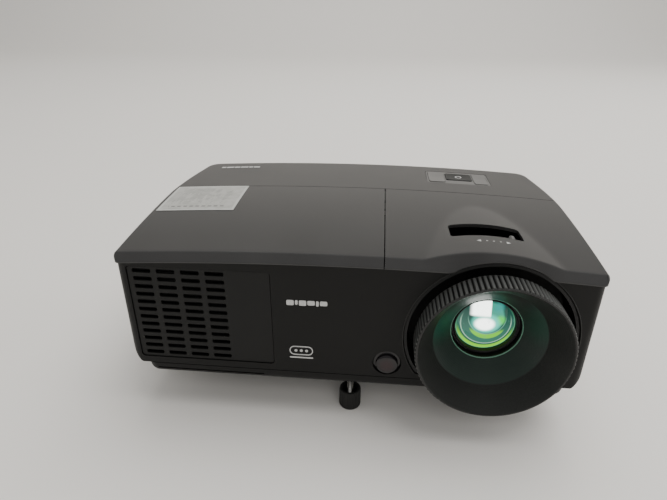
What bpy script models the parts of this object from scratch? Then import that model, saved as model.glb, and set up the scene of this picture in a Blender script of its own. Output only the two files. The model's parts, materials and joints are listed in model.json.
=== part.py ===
"""Compact home projector, standing level on three screw feet, modelled as an assembly.

Frame: +X to the right seen from the front, +Y to the back, +Z up. The lens looks towards -Y.
The origin is on the table, under the middle of the object's box.
Every number below is in millimetres; add_mesh() turns them into metres.
"""
import math

import bmesh
import bpy
from mathutils import Vector

MM = 0.001

# --- driving dimensions -------------------------------------------------------------------
HALF_WIDTH = 144.0        # widest half of the casing
LIP_Y = -80.0             # lowest front edge of the top covers
CREST_Y = -75.5           # where the covers' front chamfer starts
FACE_Y = -78.5            # front face of the bezel
REAR_Y = 95.0             # back wall
BASE_Z = 28.5             # underside of the tray, held up by the feet
PARTING_Z = 111.5         # line between covers and lower casing along the sides and the back
WALL = 2.2                # moulded wall thickness
GAP = 0.3                 # clearance between neighbouring pieces
SEAM_X = 18.3             # seam between lamp door and lens cover
SEAM_Y = 28.0             # seam between the front covers and the rear cover

LENS_X, LENS_Z = 84.0, 70.3   # optical axis, parallel to Y
RING_FRONT_Y = -95.0          # front rim of the focus ring
RING_R = 45.5
HOOD_R = 51.9                 # underside of the cover's arch over the lens

FOOT_SPOTS = {"front": (0.0, -64.7), "rear_left": (-112.0, 74.0), "rear_right": (112.0, 74.0)}
ZOOM_REST_DEG = 14.0          # where the zoom lever stands, from straight up towards +X

MATERIALS = {
    "shell_grey": ((0.085, 0.083, 0.082), 0.55, 0.0),
    "shell_black": ((0.022, 0.022, 0.023), 0.50, 0.0),
    "ring_black": ((0.028, 0.029, 0.029), 0.48, 0.0),
    "inner_black": ((0.012, 0.012, 0.012), 0.60, 0.0),
    "key_grey": ((0.20, 0.20, 0.20), 0.40, 0.0),
    "mark_silver": ((0.62, 0.62, 0.63), 0.45, 0.2),
    "foil_label": ((0.55, 0.55, 0.56), 0.40, 0.3),
    "glass": ((0.55, 0.80, 0.72), 0.03, 0.0),
    "ir_red": ((0.018, 0.012, 0.014), 0.12, 0.0),
    "steel": ((0.62, 0.61, 0.59), 0.28, 1.0),
    "rubber": ((0.025, 0.025, 0.025), 0.75, 0.0),
    "aluminium": ((0.66, 0.67, 0.68), 0.38, 1.0),
    "board_green": ((0.02, 0.16, 0.08), 0.50, 0.0),
    "lamp_ceramic": ((0.55, 0.52, 0.46), 0.60, 0.0),
    "mirror": ((0.80, 0.82, 0.84), 0.05, 1.0),
    "socket_blue": ((0.03, 0.08, 0.35), 0.45, 0.0),
}


# --- scene and mesh helpers ---------------------------------------------------------------
def clear_scene():
    for item in list(bpy.data.objects):
        bpy.data.objects.remove(item, do_unlink=True)


def material(slot):
    found = bpy.data.materials.get(slot)
    if found:
        return found
    color, roughness, metallic = MATERIALS[slot]
    made = bpy.data.materials.new(slot)
    made.use_nodes = True
    shader = made.node_tree.nodes["Principled BSDF"]
    shader.inputs["Base Color"].default_value = (*color, 1.0)
    shader.inputs["Roughness"].default_value = roughness
    shader.inputs["Metallic"].default_value = metallic
    return made


def add_mesh(name, bm, slot, origin=(0, 0, 0), smooth_deg=35):
    """Link a bmesh drawn in millimetres as an object whose own origin is at `origin`."""
    shift = Vector(origin)
    for vert in bm.verts:
        vert.co = (vert.co - shift) * MM
    bmesh.ops.recalc_face_normals(bm, faces=bm.faces)
    mesh = bpy.data.meshes.new(name)
    bm.to_mesh(mesh)
    bm.free()
    mesh.shade_smooth()
    mesh.set_sharp_from_angle(angle=math.radians(smooth_deg))
    made = bpy.data.objects.new(name, mesh)
    made.location = shift * MM
    if slot:
        mesh.materials.append(material(slot))
    bpy.context.scene.collection.objects.link(made)
    return made


def add_box(bm, low, high, turn=None):
    """Add a box between two corners, optionally turned about its centre by a matrix."""
    low, high = Vector(low), Vector(high)
    centre, size = (low + high) / 2, high - low
    verts = bmesh.ops.create_cube(bm, size=1.0)["verts"]
    for vert in verts:
        local = Vector((vert.co.x * size.x, vert.co.y * size.y, vert.co.z * size.z))
        vert.co = centre + (turn @ local if turn else local)


def box(name, low, high, slot, bevel=0.0, origin=(0, 0, 0)):
    bm = bmesh.new()
    add_box(bm, low, high)
    made = add_mesh(name, bm, slot, origin)
    if bevel:
        rounding = made.modifiers.new("rounding", "BEVEL")
        rounding.width = bevel * MM
        rounding.segments = 2
        rounding.limit_method = "ANGLE"
    return made


def axis_point(axis, centre, radius, angle, along):
    """Point at a radius and angle round an axis through `centre`; `along` is absolute."""
    c, s = radius * math.cos(angle), radius * math.sin(angle)
    if axis == "X":
        return Vector((along, centre[1] + c, centre[2] + s))
    if axis == "Y":
        return Vector((centre[0] + c, along, centre[2] + s))
    return Vector((centre[0] + c, centre[1] + s, along))


def add_lathe(bm, profile, axis, centre, steps):
    """Turn a profile of (radius, position) round an axis.

    A profile that starts and ends on the axis closes at the poles; any other closes on itself.
    """
    on_axis = profile[0][0] == 0 and profile[-1][0] == 0
    rings = []
    for radius, along in profile:
        if radius == 0:
            pole = bm.verts.new(axis_point(axis, centre, 0, 0, along))
            rings.append([pole] * steps)
            continue
        ring = [bm.verts.new(axis_point(axis, centre, radius, math.tau * k / steps, along))
                for k in range(steps)]
        rings.append(ring)
    pairs = list(zip(rings, rings[1:]))
    if not on_axis:
        pairs.append((rings[-1], rings[0]))
    for a, b in pairs:
        for k in range(steps):
            n = (k + 1) % steps
            corners = list(dict.fromkeys([a[k], a[n], b[n], b[k]]))
            bm.faces.new(corners)


def lathe(name, profile, axis, centre, slot, steps=32, origin=None):
    bm = bmesh.new()
    add_lathe(bm, profile, axis, centre, steps)
    return add_mesh(name, bm, slot, origin or (0, 0, 0))


def tube_profile(outer, inner, start, end):
    return [(inner, start), (outer, start), (outer, end), (inner, end)]


def rod_profile(radius, start, end):
    return [(0, start), (radius, start), (radius, end), (0, end)]


def add_prism(bm, outline, axis, start, end):
    """Extrude a closed outline of (first, second) coordinates along an axis."""
    def place(a, b, along):
        return {"X": (along, a, b), "Y": (a, along, b), "Z": (a, b, along)}[axis]
    lower = [bm.verts.new(place(a, b, start)) for a, b in outline]
    upper = [bm.verts.new(place(a, b, end)) for a, b in outline]
    bm.faces.new(lower)
    bm.faces.new(list(reversed(upper)))
    count = len(outline)
    for k in range(count):
        n = (k + 1) % count
        bm.faces.new([lower[k], upper[k], upper[n], lower[n]])


def boolean(target, bm, operation="DIFFERENCE"):
    """Cut, join or trim `target` with a bmesh; the tool stays in the file as a hidden guide."""
    tool = add_mesh(target.name + "_" + operation.lower(), bm, None)
    tool.hide_render = True
    tool.display_type = "WIRE"
    step = target.modifiers.new(operation.lower(), "BOOLEAN")
    step.operation = operation
    step.object = tool
    step.solver = "EXACT"
    return target


def cut_boxes(target, boxes):
    bm = bmesh.new()
    for low, high in boxes:
        add_box(bm, low, high)
    return boolean(target, bm)


def thicken(outer, inner, faces):
    """Closed shell from two matching point lists: outer skin, inner skin and their rims."""
    bm = bmesh.new()
    out = [bm.verts.new(p) for p in outer]
    inn = [bm.verts.new(p) for p in inner]
    used = {}
    for face in faces:
        bm.faces.new([out[i] for i in face])
        bm.faces.new([inn[i] for i in reversed(face)])
        for a, b in zip(face, face[1:] + face[:1]):
            used[(a, b)] = True
    for a, b in used:
        if (b, a) not in used:
            bm.faces.new([out[b], out[a], inn[a], inn[b]])
    bmesh.ops.remove_doubles(bm, verts=bm.verts, dist=0.02)
    bmesh.ops.dissolve_degenerate(bm, edges=bm.edges, dist=0.01)
    return bm


# --- the casing's shape -------------------------------------------------------------------
def crown(x):
    """How far the top falls from its centre line towards the sides."""
    return 4.3 * (x / 136.0) ** 2


def blister(x, y):
    """Raised cylinder over the lens: highest at the front, running out near Y = 3."""
    return max(0.0, 7.3 * (3.0 - y) / 81.0 - (x - 80.5) ** 2 / 220.0)


def top_z(x, y):
    fall = 5.2 * (max(0.0, 29.0 - y) / 110.0) ** 2
    return 126.2 - fall - crown(x) + blister(x, y)


def skirt_z(x):
    """Lower edge of the covers along the front, lifted over the lens by the hood's arch."""
    plain = 115.9 - crown(x)
    aside = abs(x - LENS_X)
    if aside < HOOD_R:
        plain = max(plain, LENS_Z + math.sqrt(HOOD_R ** 2 - aside ** 2))
    return plain


def side_x(y):
    """Half width of the casing at its widest line: straight, then drawing in to the back."""
    return HALF_WIDTH - 7.2 * (max(0.0, y - 15.0) / 69.0) ** 2


REAR_CORNER_R = 12.0      # radius of the back corners
REAR_ARC_Y = REAR_Y - REAR_CORNER_R


def rear_corner(angle, inset_x, inset_y, radius=REAR_CORNER_R):
    """Point on a back corner's arc; angle 0 is on the side, 90 degrees at the back."""
    radius_x, radius_y = max(0.6, radius - inset_x), max(0.6, radius - inset_y)
    x = side_x(REAR_ARC_Y) - inset_x - radius_x * (1 - math.cos(angle))
    y = REAR_Y - inset_y - radius_y * (1 - math.sin(angle))
    return x, y


ARC_STEPS = 4
SIDE_ROWS = (-60.0, -40.0, -15.0, 5.0, 27.0, 48.0, 66.0)
FRONT_COLUMNS = (-120.0, -100.0, -75.0, -50.0, -25.0, 0.0, 25.0, 50.0, 75.0, 100.0, 120.0)
FRONT_CORNER_R = 6.0
TRAY_SIDE_INSET, TRAY_REAR_INSET = 8.5, 11.0      # how far the tray stays inside the walls


def wall_outline(inset, front_inset):
    """Closed plan outline of the lower casing, moved inwards by `inset` (at the front by its own)."""
    front = FACE_Y + front_inset
    points = [(x, front) for x in FRONT_COLUMNS]
    radius = max(0.6, FRONT_CORNER_R - inset)
    for k in range(ARC_STEPS + 1):
        angle = math.pi / 2 * k / ARC_STEPS
        x = HALF_WIDTH - inset - radius + radius * math.sin(angle)
        y = front + radius - radius * math.cos(angle)
        points.append((x, y))
    points += [(side_x(y) - inset, y) for y in SIDE_ROWS]
    for k in range(ARC_STEPS + 1):
        points.append(rear_corner(math.pi / 2 * k / ARC_STEPS, inset, inset))
    left = [(-x, y) for x, y in reversed(points[len(FRONT_COLUMNS):])]
    return points + [(0.0, REAR_Y - inset)] + left


def tray_outline(inset):
    """Plan outline of the tray under the casing, with as many points as wall_outline()."""
    side_inset, front = TRAY_SIDE_INSET + inset, FACE_Y + inset
    radius = max(0.6, 8.0 - inset)
    points = [(x, front) for x in FRONT_COLUMNS]
    for k in range(ARC_STEPS + 1):
        angle = math.pi / 2 * k / ARC_STEPS
        x = HALF_WIDTH - side_inset - radius + radius * math.sin(angle)
        points.append((x, front + radius - radius * math.cos(angle)))
    points += [(side_x(y) - side_inset, y) for y in SIDE_ROWS]
    for k in range(ARC_STEPS + 1):
        angle = math.pi / 2 * k / ARC_STEPS
        points.append(rear_corner(angle, side_inset, TRAY_REAR_INSET + inset, 20.0))
    left = [(-x, y) for x, y in reversed(points[len(FRONT_COLUMNS):])]
    return points + [(0.0, REAR_Y - TRAY_REAR_INSET - inset)] + left


def wall_top(x, y):
    if y < CREST_Y + 2.0:
        return 115.9 - crown(x) - GAP
    return PARTING_Z - GAP


def loft(levels):
    """Points and faces through closed outlines; each level is (outline, z or None for the top)."""
    points, faces = [], []
    count = len(levels[0][0])
    for outline, z in levels:
        points += [(x, y, wall_top(x, y) if z is None else z) for x, y in outline]
    for row in range(len(levels) - 1):
        for k in range(count):
            n = (k + 1) % count
            a, b = row * count, (row + 1) * count
            faces.append([a + k, a + n, b + n, b + k])
    return points, faces


BEZEL_FOOT_Z = 37.0       # lowest line of the bezel and the walls, above the tray
CORNER_STEPS = ((6.0, 0.0), (3.2, 1.6), (1.0, 4.4), (0.0, 8.5))   # (inset, height above it)
TRAY_STEPS = ((4.2, 0.0), (1.2, 1.8), (0.0, 5.0))                 # the same for the tray


def wall_levels(inward):
    """Levels of the side walls from the inward flange at the bottom to the parting line."""
    lift = WALL if inward else 0.0
    levels = [(wall_outline(15.0, 15.0), BEZEL_FOOT_Z + lift)]
    for inset, rise in CORNER_STEPS:
        levels.append((wall_outline(inset + lift, lift), BEZEL_FOOT_Z + rise + lift * 0.8))
    levels.append((wall_outline(lift, lift), None))
    return levels


def wall_shell():
    outer, faces = loft(wall_levels(False))
    inner, _ = loft(wall_levels(True))
    return thicken(outer, inner, faces)


def bottom_shell():
    """Tray, flange and walls in one moulding."""
    def levels(inward):
        lift = WALL if inward else 0.0
        inset = 2.0 if inward else 0.0
        tray = [(tray_outline(draw_in + inset), BASE_Z + rise + lift) for draw_in, rise in TRAY_STEPS]
        tray.append((tray_outline(inset), BEZEL_FOOT_Z - 0.6 + lift))
        return tray + wall_levels(inward)[1:]
    outer, faces = loft(levels(False))
    inner, _ = loft(levels(True))
    count = len(tray_outline(0.0))
    floor = list(range(count))
    faces.append(list(reversed(floor)))
    return thicken(outer, inner, faces)


# --- covers -------------------------------------------------------------------------------
RIM_STEPS = 3


def rim_points(inner_xy, outer_xy, round_over, foot_z, thin):
    """Points from the edge of the top surface over the rim to the cover's lower edge."""
    (xi, yi), (xo, yo) = inner_xy, outer_xy
    z_edge = top_z(xi, yi) - thin
    points = []
    if round_over is None:
        z_low = foot_z + 0.8 - 0.3 * (thin > 0)
        for k in range(1, RIM_STEPS + 1):
            t = k / RIM_STEPS
            points.append((xi + (xo - xi) * t, yi + (yo - yi) * t, z_edge + (z_low - z_edge) * t))
    else:
        for k in range(1, RIM_STEPS + 1):
            angle = math.pi / 2 * k / RIM_STEPS
            t = math.sin(angle)
            drop = (round_over - 0.3 * thin) * (1 - math.cos(angle))
            points.append((xi + (xo - xi) * t, yi + (yo - yi) * t, z_edge - drop))
    points.append((xo, yo, foot_z))
    return points


def front_rim(x, thin):
    """Inner and outer plan points of the front chamfer at one column."""
    aside = abs(x - LENS_X)
    over_lens = max(0.0, min(1.0, (30.0 - aside) / 10.0)) if x > 0 else 0.0
    reach = x if abs(x) < 125.0 else math.copysign(125.0 + (abs(x) - 125.0) * 0.8, x)
    return (x, CREST_Y + 0.4 * thin), (reach, LIP_Y + 2.0 * over_lens + thin)


def side_rim(y, thin):
    """Inset, plan points and rounding of the side edge at one row."""
    soft = 1.5 + 2.5 * max(0.0, min(1.0, (y - 20.0) / 52.0))
    return (side_x(y) - soft - 0.6 * thin, y), (side_x(y) - thin, y), soft


def front_cover_skin(side, columns, rows, thin):
    """Lamp door (side -1) or lens cover (side +1): columns run from the seam to the edge."""
    seam = SEAM_X + side * GAP
    points, faces = [], []
    width = len(columns)
    for y in rows:
        edge = side * side_rim(y, thin)[0][0]
        at = max(y, CREST_Y + 0.4 * thin)
        for u in columns:
            x = seam + (edge - seam) * u
            points.append((x, at, top_z(x, at) - thin))
    for r in range(len(rows) - 1):
        for c in range(width - 1):
            a = r * width + c
            faces.append([a, a + 1, a + width + 1, a + width])
    border = []
    for c in range(width):
        x = points[c][0]
        inner_xy, outer_xy = front_rim(x, thin)
        border.append((c, rim_points(inner_xy, outer_xy, None, skirt_z(outer_xy[0]), thin)))
    corner = width - 1
    radius = 4.2 - thin
    for k in (1, 2, 3):
        angle = math.pi / 2 * k / 3
        xo = side * (HALF_WIDTH - thin - radius + radius * math.sin(angle))
        yo = LIP_Y + thin + radius - radius * math.cos(angle)
        inner_xy = (points[corner][0], points[corner][1])
        foot = skirt_z(xo) + (PARTING_Z - skirt_z(xo)) * k / 3
        blend = rim_points(inner_xy, (xo, yo), None, foot, thin)
        if k > 1:
            round_pts = rim_points(inner_xy, (xo, yo), 1.5, foot, thin)
            mix = (k - 1) / 2
            blend = [tuple(a + (b - a) * mix for a, b in zip(p, q)) for p, q in zip(blend, round_pts)]
        border.append((corner, blend))
    for r in range(1, len(rows)):
        inner_xy, outer_xy, soft = side_rim(rows[r], thin)
        inner_xy, outer_xy = (side * inner_xy[0], inner_xy[1]), (side * outer_xy[0], outer_xy[1])
        border.append((r * width + corner, rim_points(inner_xy, outer_xy, soft, PARTING_Z, thin)))
    add_rim(points, faces, border)
    if side > 0:
        return points, faces
    return points, [list(reversed(f)) for f in faces]


def add_rim(points, faces, border):
    """Join rim strips, one per border item (index of the surface point, rim points)."""
    strips = []
    for start, rim in border:
        strip = [start]
        for p in rim:
            strip.append(len(points))
            points.append(p)
        strips.append(strip)
    for a, b in zip(strips, strips[1:]):
        for k in range(len(a) - 1):
            corners = [b[k], a[k], a[k + 1], b[k + 1]]
            faces.append(list(dict.fromkeys(corners)))


REAR_SOFT = 7.2           # rounding of the top's back edge


def rear_cover_skin(columns, rows, thin):
    points, faces, left, right = [], [], [], []
    width = len(columns)

    def add_row(inner_xy, outer_xy, soft):
        xi, yi = inner_xy
        start = len(points)
        for u in columns:
            points.append((xi * u, yi, top_z(xi * u, yi) - thin))
        right.append((start + width - 1, rim_points(inner_xy, outer_xy, soft, PARTING_Z, thin)))
        mirrored = rim_points((-xi, yi), (-outer_xy[0], outer_xy[1]), soft, PARTING_Z, thin)
        left.append((start, mirrored))

    for y in rows:
        add_row(*side_rim(y, thin))
    for k in range(1, ARC_STEPS + 1):
        angle = math.pi / 2 * k / ARC_STEPS
        soft = 4.0 + 3.2 * math.sin(angle)
        add_row(rear_corner(angle, soft + 0.6 * thin, soft + 0.6 * thin), rear_corner(angle, thin, thin), soft)
    for r in range(len(right) - 1):
        for c in range(width - 1):
            a = r * width + c
            faces.append([a, a + 1, a + width + 1, a + width])
    last = (len(right) - 1) * width
    back = []
    for c in range(width - 2, 0, -1):
        x, y, _ = points[last + c]
        back.append((last + c, rim_points((x, y), (x, REAR_Y - thin), REAR_SOFT, PARTING_Z, thin)))
    add_rim(points, faces, right + back + list(reversed(left)))
    return points, faces


def spread(count):
    return [k / (count - 1) for k in range(count)]


def surface_patch(name, low, high, lift, thickness, slot, cells=(6, 4), origin=(0, 0, 0)):
    """Thin plate that follows the top surface between two plan corners."""
    outer, inner, faces = [], [], []
    across, along = cells
    for j in range(along + 1):
        for i in range(across + 1):
            x = low[0] + (high[0] - low[0]) * i / across
            y = low[1] + (high[1] - low[1]) * j / along
            outer.append((x, y, top_z(x, y) + lift))
            inner.append((x, y, top_z(x, y) + lift - thickness))
    for j in range(along):
        for i in range(across):
            a = j * (across + 1) + i
            faces.append([a, a + 1, a + across + 2, a + across + 1])
    return add_mesh(name, thicken(outer, inner, faces), slot, origin)


KEYPAD = ((51.5, 49.5), (100.4, 77.0))
KEYS = {
    "power_key": ((66.8, 57.3), (87.0, 73.0)),
    "left_key": ((53.0, 51.0), (65.4, 75.5)),
    "right_key": ((88.2, 51.0), (98.9, 75.5)),
}
ZOOM_SLOT = ((58.0, -51.5), (102.0, -33.0))


def grown(rect, by, z_low, z_high):
    (x0, y0), (x1, y1) = rect
    return (x0 - by, y0 - by, z_low), (x1 + by, y1 + by, z_high)


def build_covers():
    lens_columns = spread(19)
    lens_rows = [CREST_Y, -70.0, -63.0, -56.0, -48.0, -40.0, -31.0, -22.0, -12.0, -1.0, 12.0, SEAM_Y - GAP]
    outer, faces = front_cover_skin(1, lens_columns, lens_rows, 0.0)
    inner, _ = front_cover_skin(1, lens_columns, lens_rows, WALL)
    lens_cover = add_mesh("lens_cover", thicken(outer, inner, faces), "shell_grey", smooth_deg=28)
    cut_boxes(lens_cover, [grown(ZOOM_SLOT, 0.0, 100.0, 140.0)])

    door_columns, door_rows = spread(9), [CREST_Y, -60.0, -40.0, -15.0, 5.0, SEAM_Y - GAP]
    outer, faces = front_cover_skin(-1, door_columns, door_rows, 0.0)
    inner, _ = front_cover_skin(-1, door_columns, door_rows, WALL)
    add_mesh("lamp_door", thicken(outer, inner, faces), "shell_grey", smooth_deg=28)

    rear_columns = [-1.0 + 2.0 * u for u in spread(13)]
    rear_rows = [SEAM_Y + GAP, 45.0, 60.0, 73.0, REAR_ARC_Y]
    outer, faces = rear_cover_skin(rear_columns, rear_rows, 0.0)
    inner, _ = rear_cover_skin(rear_columns, rear_rows, WALL)
    rear_cover = add_mesh("rear_cover", thicken(outer, inner, faces), "shell_grey", smooth_deg=28)
    cut_boxes(rear_cover, [grown(KEYPAD, GAP, 100.0, 140.0)])


def build_keypad():
    plate = surface_patch("keypad_plate", *KEYPAD, -0.2, 2.0, "key_grey", (8, 2))
    cut_boxes(plate, [grown(rect, GAP, 110.0, 140.0) for rect in KEYS.values()])
    for name, (low, high) in KEYS.items():
        centre = ((low[0] + high[0]) / 2, (low[1] + high[1]) / 2, 123.0)
        surface_patch(name, low, high, 0.3, 2.6, "key_grey", (4, 2), centre)
    box("keypad_board", (54.0, 53.0, 116.5), (99.0, 71.5, 118.1), "board_green")


def build_trims():
    surface_patch("lamp_label", (-140.5, -19.5), (-85.5, 27.2), GAP + 0.25, 0.25, "foil_label", (6, 3))
    surface_patch("top_badge", (-121.0, 74.5), (-86.0, 78.0), GAP + 0.3, 0.3, "mark_silver", (6, 1))
    box("front_badge", (-39.5, FACE_Y - GAP - 0.4, 87.6), (-8.5, FACE_Y - GAP, 91.4), "mark_silver")
    box("front_emblem", (-38.5, FACE_Y - GAP - 0.4, 48.0), (-23.5, FACE_Y - GAP, 57.5), "mark_silver")


# --- lower casing -------------------------------------------------------------------------
BEZEL_BACK_Y = -67.6
LENS_FLAT_Z = 41.0        # behind the face the lens opening is cut flat here, above the flange
NOTCH_BACK_Y = -72.3      # the face itself is cut right round the dish down to this depth
GRILLE = ((-137.0, 42.0), (-49.0, 108.8))
IR_SPOT = (23.3, 48.0)
SIDE_GRILLE = ((-30.0, 52.0), (45.0, 100.0))      # (y, z) corners, on both sides
REAR_PANEL = ((-62.0, 46.0), (108.0, 103.0))      # (x, z) corners
AC_INLET = ((-104.0, 50.0), (-77.0, 70.0))


def circle_above(radius, flat_z, steps=48):
    """Outline in X and Z of the lens opening: a circle with a flat bottom."""
    half = math.sqrt(radius ** 2 - (LENS_Z - flat_z) ** 2)
    start = math.atan2(flat_z - LENS_Z, half)
    sweep = math.pi - 2 * start
    return [(LENS_X + radius * math.cos(start + sweep * k / steps),
             LENS_Z + radius * math.sin(start + sweep * k / steps)) for k in range(steps + 1)]


def build_bezel():
    bezel = add_mesh("front_bezel", wall_shell(), "shell_black", smooth_deg=28)
    keep = bmesh.new()
    add_box(keep, (-150.0, -90.0, BEZEL_FOOT_Z - 5.0), (150.0, BEZEL_BACK_Y, 130.0))
    boolean(bezel, keep, "INTERSECT")
    well = bmesh.new()
    add_prism(well, circle_above(51.7, LENS_FLAT_Z), "Y", -85.0, -50.0)
    boolean(bezel, well)
    tools = bmesh.new()
    add_lathe(tools, rod_profile(38.0, -85.0, NOTCH_BACK_Y), "Y", (LENS_X, 0, LENS_Z), 48)
    (x0, z0), (x1, z1) = GRILLE
    add_box(tools, (x0 - GAP, -85.0, z0 - GAP), (x1 + GAP, -70.0, z1 + GAP))
    add_lathe(tools, rod_profile(9.0, -85.0, -70.0), "Y", (IR_SPOT[0], 0, IR_SPOT[1]), 32)
    boolean(bezel, tools)


def build_exhaust_grille():
    (x0, z0), (x1, z1) = GRILLE
    grille = box("exhaust_grille", (x0, FACE_Y + 0.6, z0), (x1, FACE_Y + WALL, z1), "shell_black")
    slots = []
    for column in range(4):
        for row in range(12):
            x = -133.7 + 15.04 * column
            z = 105.9 - 5.5 * row
            slots.append(((x, -85.0, z - 1.35), (x + 11.5, -70.0, z + 1.35)))
    cut_boxes(grille, slots)


def build_bottom_case():
    case = add_mesh("bottom_case", bottom_shell(), "shell_black", smooth_deg=28)
    front = bmesh.new()
    add_box(front, (-150.0, -90.0, BEZEL_FOOT_Z - 0.4), (150.0, BEZEL_BACK_Y + GAP, 130.0))
    boolean(case, front)
    tools = bmesh.new()
    (y0, z0), (y1, z1) = SIDE_GRILLE
    for side in (-1, 1):
        xs = sorted((side * 130.0, side * 150.0))
        add_box(tools, (xs[0], y0 - GAP, z0 - GAP), (xs[1], y1 + GAP, z1 + GAP))
    for (x0, z0), (x1, z1) in (REAR_PANEL, AC_INLET):
        add_box(tools, (x0 - GAP, 88.0, z0 - GAP), (x1 + GAP, 100.0, z1 + GAP))
    add_lathe(tools, rod_profile(38.0, -85.0, NOTCH_BACK_Y), "Y", (LENS_X, 0, LENS_Z), 48)
    for x, y in FOOT_SPOTS.values():
        add_lathe(tools, rod_profile(2.3, BASE_Z - 3.0, BASE_Z + 6.0), "Z", (x, y, 0), 16)
    boolean(case, tools)


def build_side_grilles():
    (y0, z0), (y1, z1) = SIDE_GRILLE
    for name, side in (("left_grille", -1), ("right_grille", 1)):
        grille = add_mesh(name, wall_shell(), "shell_black", smooth_deg=28)
        xs = sorted((side * 130.0, side * 150.0))
        keep = bmesh.new()
        add_box(keep, (xs[0], y0, z0), (xs[1], y1, z1))
        boolean(grille, keep, "INTERSECT")
        slots = []
        for column in range(4):
            for row in range(7):
                y = y0 + 4.0 + 17.8 * column
                z = z0 + 4.0 + 6.2 * row
                slots.append(((xs[0], y, z), (xs[1], y + 14.0, z + 3.4)))
        cut_boxes(grille, slots)


SOCKETS = {   # name: ((x, z) corners, (opening corners), material)
    "hdmi_socket": ((84.0, 86.0), (101.0, 94.0), "steel"),
    "vga_socket": ((46.0, 84.0), (77.0, 97.0), "socket_blue"),
    "serial_socket": ((8.0, 84.0), (39.0, 97.0), "steel"),
    "usb_socket": ((-10.0, 86.0), (0.0, 94.0), "steel"),
    "av_jacks": ((-54.0, 84.0), (-18.0, 97.0), "inner_black"),
}


def build_rear():
    (x0, z0), (x1, z1) = REAR_PANEL
    panel = box("rear_panel", (x0, REAR_Y - WALL, z0), (x1, REAR_Y - 0.2, z1), "shell_black")
    cut_boxes(panel, [((a[0] - GAP, 88.0, a[1] - GAP), (b[0] + GAP, 100.0, b[1] + GAP))
                      for a, b, _ in SOCKETS.values()])
    for name, (a, b, slot) in SOCKETS.items():
        socket = box(name, (a[0], 78.0, a[1]), (b[0], REAR_Y - 0.5, b[1]), slot)
        if name == "av_jacks":
            tools = bmesh.new()
            for k in range(3):
                add_lathe(tools, rod_profile(3.7, 82.0, 99.0), "Y", (-48.0 + 12.0 * k, 0, 90.5), 16)
            boolean(socket, tools)
        else:
            cut_boxes(socket, [((a[0] + 1.2, 82.0, a[1] + 1.2), (b[0] - 1.2, 99.0, b[1] - 1.2))])
    (x0, z0), (x1, z1) = AC_INLET
    inlet = box("ac_inlet", (x0, 76.0, z0), (x1, REAR_Y - 0.3, z1), "inner_black")
    cut_boxes(inlet, [((x0 + 2.0, 80.0, z0 + 2.0), (x1 - 2.0, 99.0, z1 - 2.0))])


def build_ir():
    centre = (IR_SPOT[0], 0, IR_SPOT[1])
    profile = [(0, -81.0), (6.2, -80.8), (7.0, -80.0), (7.0, -77.6), (8.7, -77.3), (8.7, -75.0), (0, -75.0)]
    lathe("ir_window", profile, "Y", centre, "ir_red", 28)
    box("ir_board", (12.0, -73.0, 41.0), (34.0, -71.5, 56.0), "board_green")


# --- lens ---------------------------------------------------------------------------------
def build_lens():
    axis = (LENS_X, 0, LENS_Z)
    shroud = lathe("lens_shroud", [(51.4, -77.5), (51.4, -52.0), (27.0, -52.0), (27.0, -53.8),
                                   (49.6, -53.8), (49.6, -77.5)], "Y", axis, "inner_black", 64)
    flat = bmesh.new()
    add_box(flat, (20.0, -90.0, 0.0), (150.0, -40.0, LENS_FLAT_Z + GAP))
    boolean(shroud, flat)

    ring = [(44.2, RING_FRONT_Y), (45.1, RING_FRONT_Y + 0.2), (45.5, RING_FRONT_Y + 1.0),
            (45.5, -79.2), (43.6, -79.2), (43.6, -90.5), (35.3, -77.6), (23.4, -65.8), (23.4, -57.0),
            (21.45, -57.0), (21.45, -66.9), (33.5, -78.85)]
    lathe("focus_ring", ring, "Y", axis, "ring_black", 72, (LENS_X, RING_FRONT_Y, LENS_Z))

    lathe("lens_barrel", tube_profile(21.1, 20.0, -63.6, -13.0), "Y", axis, "inner_black", 40)
    lathe("front_lens_cell", tube_profile(19.7, 18.7, -64.2, -48.0), "Y", axis, "inner_black", 40)
    front = [(0, -65.6), (6.5, -65.2), (12.5, -64.0), (16.5, -62.6), (18.4, -61.6),
             (18.4, -56.0), (12.0, -58.4), (6.0, -59.7), (0, -60.0)]
    lathe("front_lens", front, "Y", axis, "glass", 40)
    zoom = [(0, -36.5), (8.0, -36.0), (14.0, -34.0), (18.9, -33.5), (18.9, -26.0), (12.0, -26.5), (0, -27.5)]
    lathe("zoom_lens_group", zoom, "Y", axis, "glass", 32)

    ring_body = lathe("zoom_ring", tube_profile(29.5, 21.4, -50.0, -37.0), "Y", axis, "ring_black", 48,
                      (LENS_X, -43.5, LENS_Z))
    lever = bmesh.new()
    add_box(lever, (LENS_X - 1.3, -47.0, LENS_Z + 26.0), (LENS_X + 1.3, -39.5, LENS_Z + 54.0))
    angle = math.radians(ZOOM_REST_DEG)
    for vert in lever.verts:
        dx, dz = vert.co.x - LENS_X, vert.co.z - LENS_Z
        vert.co.x = LENS_X + dx * math.cos(angle) + dz * math.sin(angle)
        vert.co.z = LENS_Z - dx * math.sin(angle) + dz * math.cos(angle)
    boolean(ring_body, lever, "UNION")

    flange = box("lens_flange", (56.0, -33.5, 42.5), (112.0, -30.5, 98.0), "aluminium")
    hole = bmesh.new()
    add_lathe(hole, rod_profile(21.4, -36.0, -28.0), "Y", axis, 40)
    boolean(flange, hole)


# --- feet ---------------------------------------------------------------------------------
KNOB_TOP_Z = 14.5


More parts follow.
